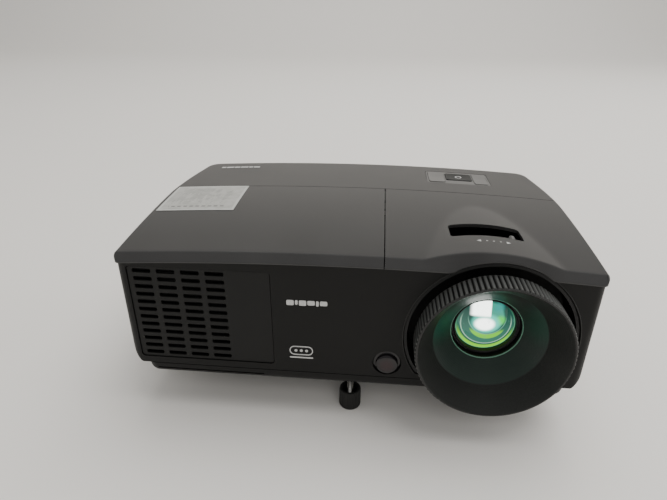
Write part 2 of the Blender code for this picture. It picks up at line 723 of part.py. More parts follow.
def build_feet():
    for spot, (x, y) in FOOT_SPOTS.items():
        centre = (x, y, 0)
        cup = [(0, 0.0), (6.6, 0.0), (7.4, 0.8), (7.4, KNOB_TOP_Z - 0.6), (6.9, KNOB_TOP_Z),
               (5.3, KNOB_TOP_Z), (5.3, 6.0), (0, 6.0)]
        lathe(spot + "_foot_knob", cup, "Z", centre, "rubber", 24, centre)
        lathe(spot + "_foot_screw", rod_profile(1.95, 6.3, 47.0), "Z", centre, "steel", 12, centre)


# --- inside -------------------------------------------------------------------------------
def build_fan(name, axis, centre, half, depth, blade_r):
    """Axial fan: square frame with a round hole and two cross bars, and a rotor with blades."""
    index = "XYZ".index(axis)
    others = [k for k in range(3) if k != index]

    def corner(along, a, b):
        point = [0.0, 0.0, 0.0]
        point[index] = along
        point[others[0]] = centre[others[0]] + a
        point[others[1]] = centre[others[1]] + b
        return tuple(point)

    start, end = centre[index] - depth / 2, centre[index] + depth / 2
    frame = box(name + "_frame", corner(start, -half, -half), corner(end, half, half), "inner_black")
    hole = bmesh.new()
    add_lathe(hole, rod_profile(blade_r + 1.5, start - 3.0, end + 3.0), axis, centre, 32)
    boolean(frame, hole)
    bars = bmesh.new()
    add_box(bars, corner(end - 1.6, -half + 0.5, -2.0), corner(end, half - 0.5, 2.0))
    boolean(frame, bars, "UNION")
    post = bmesh.new()
    add_box(post, corner(end - 1.6, -2.0, -half + 0.5), corner(end, 2.0, half - 0.5))
    boolean(frame, post, "UNION")

    hub_r = blade_r * 0.42
    rotor = lathe(name + "_rotor", rod_profile(hub_r, start + 1.0, end - 2.0), axis, centre,
                  "inner_black", 24, centre)
    blades = bmesh.new()
    for k in range(7):
        angle = math.tau * k / 7
        for radius in (hub_r * 0.8, blade_r):
            for lead in (-1, 1):
                turn = angle + lead * 0.24
                along = centre[index] + lead * (depth / 2 - 3.5)
                for width in (-0.02, 0.02):
                    blades.verts.new(axis_point(axis, centre, radius, turn + width, along))
        v = list(blades.verts)[-8:]
        for face in ((0, 1, 3, 2), (4, 6, 7, 5), (0, 4, 5, 1), (2, 3, 7, 6), (0, 2, 6, 4), (1, 5, 7, 3)):
            blades.faces.new([v[i] for i in face])
    boolean(rotor, blades, "UNION")


def build_lamp():
    lamp = box("lamp_housing", (-128.0, -46.0, 36.0), (-66.0, 12.0, 100.0), "shell_black")
    cut_boxes(lamp, [((-126.0, -44.0, 38.0), (-60.0, 10.0, 98.0))])
    cut_boxes(lamp, [((-120.0, -40.0, 90.0), (-74.0, 6.0, 105.0))])
    bowl = [(4.0, -112.0), (10.0, -110.0), (18.0, -100.0), (24.0, -84.0), (26.0, -70.0),
            (24.3, -70.0), (22.3, -83.5), (16.5, -98.5), (9.0, -107.8), (4.0, -109.0)]
    lathe("lamp_reflector", bowl, "X", (0, -17.0, 68.0), "mirror", 32)
    lathe("lamp_window", rod_profile(25.0, -65.6, -63.6), "X", (0, -17.0, 68.0), "glass", 32)


def build_engine():
    wheel = (-54.0, -2.0, 68.0)
    lathe("colour_wheel", tube_profile(21.0, 8.5, -56.0, -54.8), "X", wheel, "glass", 36, wheel)
    lathe("colour_wheel_motor", rod_profile(8.2, -56.4, -44.0), "X", wheel, "steel", 24)
    tunnel = box("light_tunnel", (-40.0, -21.0, 64.0), (36.0, -13.0, 72.0), "mirror")
    cut_boxes(tunnel, [((-45.0, -19.5, 65.5), (40.0, -14.5, 70.5))])
    engine = box("engine_housing", (38.0, -11.0, 42.0), (128.0, 28.0, 100.0), "aluminium")
    cut_boxes(engine, [((40.5, -8.5, 44.5), (125.5, 25.5, 110.0))])
    box("engine_lid", (38.0, -11.0, 100.3), (128.0, 28.0, 102.3), "aluminium")
    box("dmd_chip", (72.0, 28.4, 60.0), (96.0, 32.6, 78.0), "lamp_ceramic")
    box("dmd_board", (52.0, 33.0, 44.0), (116.0, 34.6, 100.0), "board_green")
    comb = [(60.0, 35.0), (108.0, 35.0)]
    fins = 8
    pitch = (108.0 - 60.0) / (2 * fins - 1)
    for k in range(2 * fins - 1):
        right = 108.0 - pitch * k
        depth = 58.0 if k % 2 == 0 else 40.0
        comb += [(right, depth), (right - pitch, depth)]
    bm = bmesh.new()
    add_prism(bm, comb, "Z", 48.0, 96.0)
    add_mesh("dmd_heatsink", bm, "aluminium")


def build_boards():
    main = box("main_board", (-58.0, 38.0, 104.4), (118.0, 90.0, 106.0), "board_green")
    chips = bmesh.new()
    add_box(chips, (10.0, 50.0, 105.0), (34.0, 74.0, 108.5))
    boolean(main, chips, "UNION")
    power = box("power_board", (-126.0, 18.0, 34.0), (-52.0, 68.0, 35.6), "board_green")
    blocks = bmesh.new()
    add_box(blocks, (-120.0, 28.0, 35.0), (-92.0, 52.0, 62.0))
    add_box(blocks, (-84.0, 28.0, 35.0), (-60.0, 44.0, 55.0))
    boolean(power, blocks, "UNION")
    ballast = box("lamp_ballast_board", (-46.0, 2.0, 34.0), (34.0, 58.0, 35.6), "board_green")
    coil = bmesh.new()
    add_box(coil, (-36.0, 14.0, 35.0), (-6.0, 40.0, 56.0))
    boolean(ballast, coil, "UNION")
    speaker = box("speaker", (70.0, 62.0, 34.0), (104.0, 74.0, 66.0), "inner_black")
    cone = bmesh.new()
    add_lathe(cone, [(0, 70.0), (4.0, 70.0), (12.0, 74.5), (12.0, 78.0), (0, 78.0)], "Y", (87.0, 0, 50.0), 24)
    boolean(speaker, cone)


def main():
    clear_scene()
    build_covers()
    build_keypad()
    build_trims()
    build_bezel()
    build_exhaust_grille()
    build_bottom_case()
    build_side_grilles()
    build_rear()
    build_ir()
    build_lens()
    build_feet()
    build_fan("exhaust_fan", "Y", (-88.0, -63.0, 73.0), 33.0, 15.0, 30.0)
    build_fan("intake_fan", "X", (125.0, 51.5, 72.0), 22.0, 12.0, 19.5)
    build_lamp()
    build_engine()
    build_boards()


main()
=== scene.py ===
"""Looks of the home projector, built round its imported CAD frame.

Frame: +X to the right seen from the front, +Y to the back, +Z up, the lens looks towards -Y.
Shapes are written in millimetres; put() turns them into metres.
"""
import json
import math

import bmesh
import bpy
from mathutils import Matrix, Vector


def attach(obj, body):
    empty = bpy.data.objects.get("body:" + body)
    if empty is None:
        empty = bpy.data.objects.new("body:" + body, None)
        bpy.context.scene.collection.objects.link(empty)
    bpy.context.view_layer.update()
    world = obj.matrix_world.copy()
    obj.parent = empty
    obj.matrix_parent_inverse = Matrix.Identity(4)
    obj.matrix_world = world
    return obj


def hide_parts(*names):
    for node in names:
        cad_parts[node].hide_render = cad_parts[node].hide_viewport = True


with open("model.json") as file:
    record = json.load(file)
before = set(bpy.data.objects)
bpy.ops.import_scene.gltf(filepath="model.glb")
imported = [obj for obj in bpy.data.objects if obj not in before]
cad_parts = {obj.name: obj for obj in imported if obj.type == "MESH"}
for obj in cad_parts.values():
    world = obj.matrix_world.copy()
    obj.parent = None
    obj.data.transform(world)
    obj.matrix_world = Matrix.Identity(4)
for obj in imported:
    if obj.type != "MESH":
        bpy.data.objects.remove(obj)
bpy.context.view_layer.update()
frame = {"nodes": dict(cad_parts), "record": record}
MM = 0.001

# --- driving dimensions, the same as the CAD's ---
HALF_WIDTH = 144.0
LIP_Y, CREST_Y, FACE_Y, REAR_Y = -80.0, -75.5, -78.5, 95.0
BASE_Z, FOOT_Z, PARTING_Z = 28.5, 37.0, 111.5
WALL, GAP = 2.2, 0.3
SEAM_X, SEAM_Y = 18.3, 28.0
LENS_X, LENS_Z = 84.0, 70.3
HOOD_R = 51.9
BEZEL_BACK_Y = -67.6
GRILLE = ((-137.0, 42.0), (-49.0, 108.8))
IR_X, IR_Z = 23.3, 48.0
SIDE_GRILLE = ((-30.0, 52.0), (45.0, 100.0))
REAR_PANEL = ((-62.0, 46.0), (108.0, 103.0))
AC_INLET = ((-104.0, 50.0), (-77.0, 70.0))
FEET = {"front": (0.0, -64.7), "rear_left": (-112.0, 74.0), "rear_right": (112.0, 74.0)}
KEYPAD = ((51.5, 49.5), (100.4, 77.0))
KEYS = {"power_key": ((66.8, 57.3), (87.0, 73.0)), "left_key": ((53.0, 51.0), (65.4, 75.5)),
        "right_key": ((88.2, 51.0), (98.9, 75.5))}
ZOOM_SLOT = ((58.0, -51.5), (102.0, -33.0))
ZOOM_REST_DEG = 14.0
KNOB_TOP_Z = 14.5
AXIS = (LENS_X, 0.0, LENS_Z)
RING_BACK_SEAT = ((0, -85.0), (38.0, -85.0), (38.0, -72.3), (0, -72.3))
BASE_SCREWS = ((-122.0, 6.0), (122.0, 6.0), (-60.0, 74.0), (60.0, 74.0), (-60.0, -62.0), (52.0, -62.0))

# Axis, start and end of the prisms that cut right through a wall.
THROUGH_FRONT, THROUGH_REAR = ("Y", -85.0, -70.0), ("Y", 88.0, 100.0)
THROUGH_COVER, THROUGH_KEYS = ("Z", 100.0, 140.0), ("Z", 110.0, 140.0)
THROUGH_BASE = ("Z", BASE_Z - 3.0, BASE_Z + 6.0)
MARK_DEPTH = ("Y", FACE_Y - 0.35, FACE_Y - 0.05)


# --- materials ---
class Field:
    """A number that varies over a surface, so that node formulas read as formulas."""

    def __init__(self, tree, socket):
        self.tree, self.socket = tree, socket

    def math(self, operation, *others):
        node = self.tree.nodes.new("ShaderNodeMath")
        node.operation = operation
        for slot, value in zip(node.inputs, (self, *others)):
            if isinstance(value, Field):
                self.tree.links.new(value.socket, slot)
            else:
                slot.default_value = value
        return Field(self.tree, node.outputs[0])

    def __add__(self, other):
        return self.math("ADD", other)

    def __sub__(self, other):
        return self.math("SUBTRACT", other)

    def __mul__(self, other):
        return self.math("MULTIPLY", other)

    def __truediv__(self, other):
        return self.math("DIVIDE", other)

    __radd__ = __add__
    __rmul__ = __mul__

    def step(self, low, high):
        """0 below `low`, 1 above `high`, smooth between; low above high turns it round."""
        node = self.tree.nodes.new("ShaderNodeMapRange")
        node.interpolation_type = "SMOOTHSTEP"
        self.tree.links.new(self.socket, node.inputs["Value"])
        node.inputs["From Min"].default_value = low
        node.inputs["From Max"].default_value = high
        return Field(self.tree, node.outputs["Result"])

    def band(self, centre, half, soft):
        """1 within `half` of `centre`, 0 outside, with edges `soft` wide."""
        return (self - centre).math("ABSOLUTE").step(half + soft, half)

    def comb(self, pitch):
        """Distance from the nearest multiple of `pitch`."""
        return self.math("PINGPONG", pitch / 2.0)


def hypot(a, b):
    return (a * a + b * b).math("SQRT")


class Finish:
    """A procedural Principled material under construction; coordinates are in millimetres."""

    def __init__(self, name, slot, metallic=0.0, roughness=0.5, coat=0.0, specular=0.5):
        self.material = bpy.data.materials.new(name)
        self.slot = slot
        self.material.use_nodes = True
        self.tree = self.material.node_tree
        self.shader = self.tree.nodes["Principled BSDF"]
        for socket, value in (("Metallic", metallic), ("Roughness", roughness), ("Coat Weight", coat),
                              ("Coat Roughness", 0.04), ("Specular IOR Level", specular)):
            self.shader.inputs[socket].default_value = value
        self.coordinates = self.tree.nodes.new("ShaderNodeTexCoord").outputs["Object"]
        self.split = self.tree.nodes.new("ShaderNodeSeparateXYZ")
        self.tree.links.new(self.coordinates, self.split.inputs[0])

    def axis(self, letter, origin=0.0):
        return Field(self.tree, self.split.outputs[letter]) * 1000.0 - origin

    def noise(self, grain, detail=2.0, stretch=(1, 1, 1)):
        mapping = self.tree.nodes.new("ShaderNodeMapping")
        mapping.inputs["Scale"].default_value = stretch
        self.tree.links.new(self.coordinates, mapping.inputs["Vector"])
        node = self.tree.nodes.new("ShaderNodeTexNoise")
        node.inputs["Scale"].default_value = 1000.0 / grain
        node.inputs["Detail"].default_value = detail
        self.tree.links.new(mapping.outputs[0], node.inputs["Vector"])
        return Field(self.tree, node.outputs["Fac"])

    def mix(self, factor, first, second):
        """Colour between two, each a triple or an earlier mix."""
        node = self.tree.nodes.new("ShaderNodeMix")
        node.data_type = "RGBA"
        self.tree.links.new(factor.socket, node.inputs[0])
        for slot, value in ((node.inputs[6], first), (node.inputs[7], second)):
            if isinstance(value, tuple):
                slot.default_value = (*value, 1.0)
            else:
                self.tree.links.new(value, slot)
        return node.outputs[2]

    def color(self, value, name="Base Color"):
        self.tree.links.new(value, self.shader.inputs[name])
        return self

    def roughness(self, field):
        self.tree.links.new(field.socket, self.shader.inputs["Roughness"])
        return self

    def bump(self, field, depth):
        """Raise the surface by up to `depth` millimetres where the field is 1."""
        node = self.tree.nodes.new("ShaderNodeBump")
        node.inputs["Distance"].default_value = depth * MM
        self.tree.links.new(field.socket, node.inputs["Height"])
        self.tree.links.new(node.outputs[0], self.shader.inputs["Normal"])
        return self


def tinted(base, gain):
    return tuple(c * gain for c in base)


def moulded(name, slot, base, roughness, grain=0.55, depth=0.012, specular=0.5):
    """Moulded plastic: fine spark-eroded grain, faint mottling and slightly uneven sheen."""
    made = Finish(name, slot, roughness=roughness, specular=specular)
    fine = made.noise(grain, 3.0)
    broad = made.noise(38.0, 2.0)
    tone = fine * 0.45 + broad * 0.55
    made.color(made.mix(tone.step(0.3, 0.7), tinted(base, 0.9), tinted(base, 1.1)))
    made.roughness(broad * 0.10 + fine * 0.06 + (roughness - 0.08))
    return made.bump(fine, depth)


def metal(name, slot, base, roughness, stretch=(1, 1, 1), grain=0.4):
    made = Finish(name, slot, metallic=1.0, roughness=roughness)
    streak = made.noise(grain, 2.0, stretch)
    cloud = made.noise(9.0, 2.0)
    made.color(made.mix(cloud.step(0.35, 0.65), tinted(base, 0.86), base))
    made.roughness(streak * 0.16 + cloud * 0.08 + (roughness - 0.1))
    return made.bump(streak, 0.004)


COVER = moulded("cover_satin", "shell_grey", (0.034, 0.0336, 0.0334), 0.31, 0.6, 0.008, 0.46)
BODY = moulded("casing_satin", "shell_black", (0.0085, 0.0085, 0.0082), 0.46, 0.6, 0.012, 0.18)
GRILLE_BODY = moulded("grille_satin", "shell_black", (0.0098, 0.0098, 0.0094), 0.44, 0.6, 0.012, 0.20)
# Lighter copy of the casing's black: a painted highlight for the bead round the lens well.
LIT_BEAD = moulded("bead_painted_highlight", "shell_black", (0.022, 0.022, 0.021), 0.36, 0.5, 0.004, 0.3)
DULL = moulded("inner_dull", "inner_black", (0.008, 0.008, 0.008), 0.62, 0.5, 0.010)
KEY = moulded("key_satin", "key_grey", (0.130, 0.128, 0.124), 0.40, 0.4, 0.006)
RUBBER = moulded("foot_rubber", "rubber", (0.011, 0.011, 0.0105), 0.58, 0.35, 0.016, 0.35)
CERAMIC = moulded("ceramic", "lamp_ceramic", (0.50, 0.48, 0.43), 0.55, 0.5, 0.010)
BLUE = moulded("socket_blue", "socket_blue", (0.02, 0.05, 0.24), 0.42, 0.4, 0.006)
STEEL = metal("bright_steel", "steel", (0.62, 0.61, 0.58), 0.26, (1, 1, 6))
ALU = metal("cast_aluminium", "aluminium", (0.52, 0.53, 0.54), 0.42)
MIRROR = metal("mirror_coat", "mirror", (0.78, 0.80, 0.82), 0.14)
GOLD = metal("contact_gold", "steel", (0.72, 0.52, 0.22), 0.25)


def make_ring():
    """Ring plastic with painted shade: near-black down in the grooves between its ribs and further in towards
    the lens axis.
    """
    made = Finish("ring_satin", "ring_black", roughness=0.42)
    fine, broad = made.noise(0.35, 3.0), made.noise(38.0, 2.0)
    radius = hypot(made.axis("X", LENS_X), made.axis("Z", LENS_Z))
    land = made.mix(broad.step(0.3, 0.7), (0.046, 0.048, 0.046), (0.058, 0.060, 0.058))
    # Painted shade: below 44.9 mm from the lens axis the colour drops to near-black, darkening the rib
    # grooves and the inner faces.
    made.color(made.mix(radius.step(44.9, 45.6), (0.006, 0.006, 0.006), land))
    made.roughness(fine * 0.08 + broad * 0.08 + 0.34)
    return made.bump(fine, 0.006)


def make_board():
    made = Finish("board_mask", "board_green", roughness=0.4)
    x, y, z = made.axis("X"), made.axis("Y"), made.axis("Z")
    traces = (x * 0.7 + y).comb(2.4).step(0.5, 0.3).math("MULTIPLY", made.noise(11.0).step(0.5, 0.56))
    pads = hypot(x.comb(5.1), (y + z).comb(5.1)).step(0.75, 0.55)
    tone = made.mix(traces, (0.010, 0.075, 0.036), (0.022, 0.135, 0.062))
    made.color(made.mix(pads, tone, (0.42, 0.36, 0.20)))
    return made.bump(made.noise(0.8), 0.01)


def make_mark():
    made = Finish("mark_print", "mark_silver", roughness=0.45)
    made.color(made.mix(made.noise(0.5).step(0.4, 0.7), (0.50, 0.50, 0.49), (0.64, 0.64, 0.63)))
    return made.bump(made.noise(0.4), 0.004)


def make_label():
    """Silver film: light border, generic ruled lines and a row of dashes, no lettering."""
    made = Finish("label_film", "foil_label", roughness=0.36, specular=0.6)
    x, y = made.axis("X", -113.0), made.axis("Y", 3.85)
    ragged = made.noise(2.4, 1.0, (1, 0.15, 1)).step(0.47, 0.53)
    rows = y.comb(2.7).step(0.62, 0.42).math("MULTIPLY", ragged)
    text = rows * x.band(-2.0, 21.0, 0.4) * y.band(3.5, 15.0, 0.3)
    field = x.band(0.0, 25.6, 0.3) * y.band(0.0, 21.4, 0.3)
    dashes = x.comb(4.4).step(1.5, 1.2) * y.band(-16.6, 0.8, 0.2) * x.band(-1.0, 20.0, 0.2)
    ink = text * 0.42 + dashes * 0.7
    border = (0.47, 0.475, 0.455)
    paper = made.mix(made.noise(5.0).step(0.3, 0.7), (0.34, 0.345, 0.325), (0.41, 0.41, 0.39))
    made.color(made.mix(ink.math("MINIMUM", 1.0), made.mix(field, border, paper), (0.03, 0.03, 0.03)))
    return made.bump(made.noise(3.0), 0.03)


def make_ir():
    made = Finish("ir_filter", "ir_red", roughness=0.14, coat=0.3, specular=0.3)
    radius = hypot(made.axis("X", IR_X), made.axis("Z", IR_Z))
    made.color(made.mix(radius.step(2.0, 6.0), (0.020, 0.006, 0.008), (0.008, 0.007, 0.008)))
    return made.bump(made.noise(2.0), 0.01)


def make_dish():
    """Cone of the focus ring: faint turning lines, green lens light low on its inner part."""
    made = Finish("dish_satin", "ring_black", roughness=0.44, specular=0.25)
    x, z = made.axis("X", LENS_X), made.axis("Z", LENS_Z)
    radius = hypot(x, z)
    lines = radius.comb(0.9).step(0.05, 0.4)
    inner = radius.step(34.2, 33.4)
    left = x.step(-12.0, -27.0) * z.step(-14.0, 8.0) * z.step(26.0, 10.0)
    right = x.step(14.0, 30.0) * z.step(-12.0, 8.0)
    glow = (left + right * 0.55) * inner
    tone = made.mix(made.noise(0.5, 3.0).step(0.3, 0.7), (0.017, 0.018, 0.017), (0.024, 0.025, 0.024))
    tone = made.mix(inner * z.step(4.0, -16.0), tone, (0.022, 0.034, 0.029))
    made.color(made.mix(glow, tone, (0.014, 0.075, 0.048)))
    made.roughness(lines * 0.08 + 0.38)
    return made.bump(lines, 0.02)


def make_lens(name, radius, glow):
    """Coated front lens; its emission paints the bright light path, the white highlight, the green coating
    reflections and the lit rims of the glasses behind it.
    """
    made = Finish(name, "glass", roughness=0.03, coat=0.3, specular=0.3)
    u, w = made.axis("X", LENS_X) / radius, made.axis("Z", LENS_Z) / radius
    rim = hypot(u, w)
    low_rim = hypot(u, w - 0.10)
    arc = hypot(u, w - 0.12)
    pupil = hypot(u - 0.02, w - 0.36)
    under = hypot(u - 0.04, w - 0.16)
    upper = u.step(0.13, 0.09) * w.step(0.36, 0.47) * u.step(-0.62, -0.44) * rim.step(1.0, 0.95)
    lower = hypot((u + 0.06) / 1.35, w - 0.12).step(0.30, 0.17)
    lower_halo = hypot((u + 0.02) / 1.3, w - 0.14).step(0.44, 0.26)
    # Everything mixed into base is emitted colour: painted reflections, painted highlights and painted lit
    # rims, not colours of the glass.
    base = made.mix(w.step(-0.6, 0.9), (0.055, 0.20, 0.14), (0.008, 0.055, 0.042))
    for where, colour in (
            (low_rim.step(0.80, 0.88) * w.step(0.1, -0.4), (0.03, 0.12, 0.08)),
            (low_rim.step(0.885, 0.96) * w.step(0.05, -0.62), (0.30, 0.88, 0.02)),
            (arc.band(0.845, 0.012, 0.014) * w.step(0.5, 0.0), (0.38, 0.66, 0.48)),
            (rim.step(0.955, 0.985) * w.step(0.9, -0.1), (0.12, 0.42, 0.22)),
            (under.step(0.66, 0.63) * w.step(-0.05, -0.24), (0.22, 0.80, 0.04)),
            (pupil.step(0.655, 0.62), (0.012, 0.085, 0.062)),
            (pupil.band(0.635, 0.010, 0.014) * w.step(0.45, 0.1), (0.16, 0.42, 0.30)),
            (pupil.step(0.60, 0.50) * u.step(-0.52, -0.36), (0.03, 0.42, 0.28)),
            (hypot(u - 0.44, w - 0.27).step(0.24, 0.06), (0.05, 0.95, 0.06)),
            (hypot(u - 0.36, w - 0.72).step(0.26, 0.05), (0.03, 0.40, 0.34)),
            (lower_halo, (0.10, 1.0, 0.75)),
            # Painted white highlight in two lobes, the brightest emission.
            (upper.math("MAXIMUM", lower), (3.4, 3.6, 3.4)),
            (made.noise(4.0, 2.0).step(0.60, 0.72) * 0.2, (0.16, 0.46, 0.36))):
        base = made.mix(where, base, colour)
    made.color(made.mix(rim.step(0.0, 1.0), (0.004, 0.012, 0.010), (0.003, 0.008, 0.007)))
    made.color(base, "Emission Color")
    made.shader.inputs["Emission Strength"].default_value = glow
    return made


BOARD, MARK, LABEL, IR, DISH = make_board(), make_mark(), make_label(), make_ir(), make_dish()
RING = make_ring()
LENS = make_lens("front_glass", 18.4, 1.15)
GLASS = moulded("coated_glass", "glass", (0.10, 0.26, 0.22), 0.08, 3.0, 0.002)


# --- mesh helpers ---
def to_object(name, bm, scale=MM):
    """Turn a bmesh, in millimetres unless a scale is given, into an object in metres."""
    for vert in bm.verts:
        vert.co *= scale
    bmesh.ops.recalc_face_normals(bm, faces=bm.faces)
    mesh = bpy.data.meshes.new(name)
    bm.to_mesh(mesh)
    bm.free()
    mesh.shade_smooth()
    made = bpy.data.objects.new(name, mesh)
    bpy.context.scene.collection.objects.link(made)
    return made


def put(name, bm, finish, body="casing", stands_for=(), smooth_deg=32):
    """Turn a bmesh in millimetres into a piece that rides on a CAD body."""
    made = to_object(name, bm)
    made.data.set_sharp_from_angle(angle=math.radians(smooth_deg))
    made.data.materials.append(finish.material)
    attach(made, body)
    if stands_for:
        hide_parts(*stands_for)
    return made


def stand_in(name, bm, finish, body="casing", smooth_deg=32):
    """A piece that is shown instead of the CAD node of the same name."""
    return put(name, bm, finish, body, (name,), smooth_deg)


def soften(made, width, segments=2, angle=40):
    """Round the sharp edges a little, as a mould does."""
    step = made.modifiers.new("soft_edges", "BEVEL")
    step.width = width * MM
    step.segments = segments
    step.limit_method = "ANGLE"
    step.angle_limit = math.radians(angle)
    step.harden_normals = True
    return made


def carve(made, bm, operation="DIFFERENCE"):
    """Cut, join or trim a piece with a bmesh in millimetres, and keep the result as its mesh."""
    tool = to_object("tool", bm)
    step = made.modifiers.new("carve", "BOOLEAN")
    step.operation = operation
    step.object = tool
    step.solver = "EXACT"
    evaluated = made.evaluated_get(bpy.context.evaluated_depsgraph_get())
    shaped = bpy.data.meshes.new_from_object(evaluated)
    made.modifiers.clear()
    old = made.data
    made.data = shaped
    bpy.data.objects.remove(tool)
    bpy.data.meshes.remove(old)
    shaped.shade_smooth()
    shaped.set_sharp_from_angle(angle=math.radians(32))
    return made


def add_box(bm, low, high, turn=None):
    low, high = Vector(low), Vector(high)
    centre, size = (low + high) / 2, high - low
    for vert in bmesh.ops.create_cube(bm, size=1.0)["verts"]:
        local = Vector((vert.co.x * size.x, vert.co.y * size.y, vert.co.z * size.z))
        vert.co = centre + (turn @ local if turn else local)


def on_axis(axis, centre, radius, angle, along):
    c, s = radius * math.cos(angle), radius * math.sin(angle)
    if axis == "X":
        return Vector((along, centre[1] + c, centre[2] + s))
    if axis == "Y":
        return Vector((centre[0] + c, along, centre[2] + s))
    return Vector((centre[0] + c, centre[1] + s, along))


def only(add, *args):
    """A new bmesh that holds one shape, such as only(add_prism, outline, axis, start, end)."""
    bm = bmesh.new()
    add(bm, *args)
    return bm


def bridge(bm, loops):
    """Faces between each loop of vertices and the next; a loop may be one vertex repeated."""
    for a, b in zip(loops, loops[1:]):
        for k in range(len(a)):
            n = (k + 1) % len(a)
            bm.faces.new(list(dict.fromkeys([a[k], a[n], b[n], b[k]])))


def add_lathe(bm, profile, axis, centre, steps, shape=None):
    """Turn (radius, position) pairs round an axis; shape(k, row, radius) may change the radius."""
    closes = profile[0][0] == 0 and profile[-1][0] == 0
    rings = []
    for row, (radius, along) in enumerate(profile):
        if radius == 0:
            rings.append([bm.verts.new(on_axis(axis, centre, 0, 0, along))] * steps)
            continue
        rings.append([bm.verts.new(on_axis(axis, centre, shape(k, row, radius) if shape else radius,
                                           math.tau * k / steps, along)) for k in range(steps)])
    bridge(bm, rings if closes else rings + rings[:1])


def rod(radius, start, end):
    return [(0, start), (radius, start), (radius, end), (0, end)]


def tube(outer, inner, start, end):
    return [(inner, start), (outer, start), (outer, end), (inner, end)]


def add_prism(bm, outline, axis, start, end):
    def place(a, b, along):
        return {"X": (along, a, b), "Y": (a, along, b), "Z": (a, b, along)}[axis]
    lower = [bm.verts.new(place(a, b, start)) for a, b in outline]
    upper = [bm.verts.new(place(a, b, end)) for a, b in outline]
    bm.faces.new(lower)
    bm.faces.new(list(reversed(upper)))
    for k in range(len(outline)):
        n = (k + 1) % len(outline)
        bm.faces.new([lower[k], upper[k], upper[n], lower[n]])


def rounded(low, high, radius, steps=5):
    """Outline of a rectangle with rounded corners."""
    points = []
    spots = ((high[0], high[1], 0), (low[0], high[1], 1), (low[0], low[1], 2), (high[0], low[1], 3))
    for x, y, turn in spots:
        cx = x - radius if turn in (0, 3) else x + radius
        cy = y - radius if turn in (0, 1) else y + radius
        for k in range(steps + 1):
            angle = math.pi / 2 * (turn + k / steps)
            points.append((cx + radius * math.cos(angle), cy + radius * math.sin(angle)))
    return points


def grown(box, by, radius):
    """Rounded outline of a rectangle made larger by `by` on every side."""
    (x0, y0), (x1, y1) = box
    return rounded((x0 - by, y0 - by), (x1 + by, y1 + by), radius)


def add_frame(bm, outer, inner, start, end):
    """Ring between two outlines with as many points, along Y."""
    loops = [[bm.verts.new((a, y, b)) for a, b in outline]
             for outline, y in ((outer, end), (inner, end), (inner, start), (outer, start))]
    bridge(bm, loops + loops[:1])


def grid_faces(rows, width):
    """Corner numbers of the quads of a grid of points, row by row."""
    return [[a, a + 1, a + width + 1, a + width]
            for row in range(rows - 1) for a in range(row * width, row * width + width - 1)]


def add_skin(bm, outer, inner, faces):
    """Give two layers of vertices the same faces, and join them round their open edges."""
    used = set()
    for face in faces:
        bm.faces.new([outer[i] for i in face])
        bm.faces.new([inner[i] for i in reversed(face)])
        used.update(zip(face, face[1:] + face[:1]))
    for a, b in sorted(used):
        if (b, a) not in used:
            bm.faces.new([outer[b], outer[a], inner[a], inner[b]])


def thicken(outer, inner, faces):
    bm = bmesh.new()
    add_skin(bm, [bm.verts.new(p) for p in outer], [bm.verts.new(p) for p in inner], faces)
    bmesh.ops.remove_doubles(bm, verts=bm.verts, dist=0.02)
    bmesh.ops.dissolve_degenerate(bm, edges=bm.edges, dist=0.01)
    return bm


# --- the casing's shape ---
TOP_Z, EDGE_TOP_Z = 126.2, 115.9
CROWN_DROP, CROWN_HALF = 4.3, 136.0
FRONT_DROP, DROP_START_Y, DROP_LENGTH = 5.2, 29.0, 110.0
BLISTER_RISE, BLISTER_BACK_Y, BLISTER_LENGTH = 7.3, 3.0, 81.0
BLISTER_X, BLISTER_SPREAD, BLISTER_BLEND = 80.5, 220.0, 0.06


def crown(x):
    return CROWN_DROP * (x / CROWN_HALF) ** 2


def top_z(x, y):
    """The crowned top, falling to the front; the blister's foot is blended into the lens cover."""
    lift = (BLISTER_RISE * (BLISTER_BACK_Y - y) / BLISTER_LENGTH
            - (x - BLISTER_X) ** 2 / BLISTER_SPREAD)
    if y < SEAM_Y and x > SEAM_X:
        lift = 0.5 * (lift + math.sqrt(lift * lift + BLISTER_BLEND))
    lift = max(0.0, lift)
    return TOP_Z - FRONT_DROP * (max(0.0, DROP_START_Y - y) / DROP_LENGTH) ** 2 - crown(x) + lift


def skirt_z(x):
    plain, aside = EDGE_TOP_Z - crown(x), abs(x - LENS_X)
    if aside < HOOD_R:
        plain = max(plain, LENS_Z + math.sqrt(HOOD_R ** 2 - aside ** 2))
    return plain


def side_x(y):
    return HALF_WIDTH - 7.2 * (max(0.0, y - 15.0) / 69.0) ** 2


def edge_soft(y):
    """How far the rounding of a side edge reaches: little in front, more to the back."""
    return 1.5 + 2.5 * max(0.0, min(1.0, (y - 20.0) / 52.0))


REAR_CORNER_R, REAR_ARC_Y, REAR_SOFT = 12.0, 83.0, 7.2


def rear_corner(angle, inset_x, inset_y, radius=REAR_CORNER_R):
    radius_x, radius_y = max(0.6, radius - inset_x), max(0.6, radius - inset_y)
    return (side_x(REAR_ARC_Y) - inset_x - radius_x * (1 - math.cos(angle)),
            REAR_Y - inset_y - radius_y * (1 - math.sin(angle)))


FILLET = 0.9


def bend(a, b, c, steps=3):
    """Points of a small rounding from a to c round the corner b."""
    made = []
    for k in range(1, steps + 1):
        t = k / (steps + 1)
        made.append(tuple(p * (1 - t) ** 2 + q * 2 * t * (1 - t) + r * t * t
                          for p, q, r in zip(a, b, c)))
    return made


def toward(a, b, length):
    a, b = Vector(a), Vector(b)
    return tuple(a + (b - a).normalized() * length)


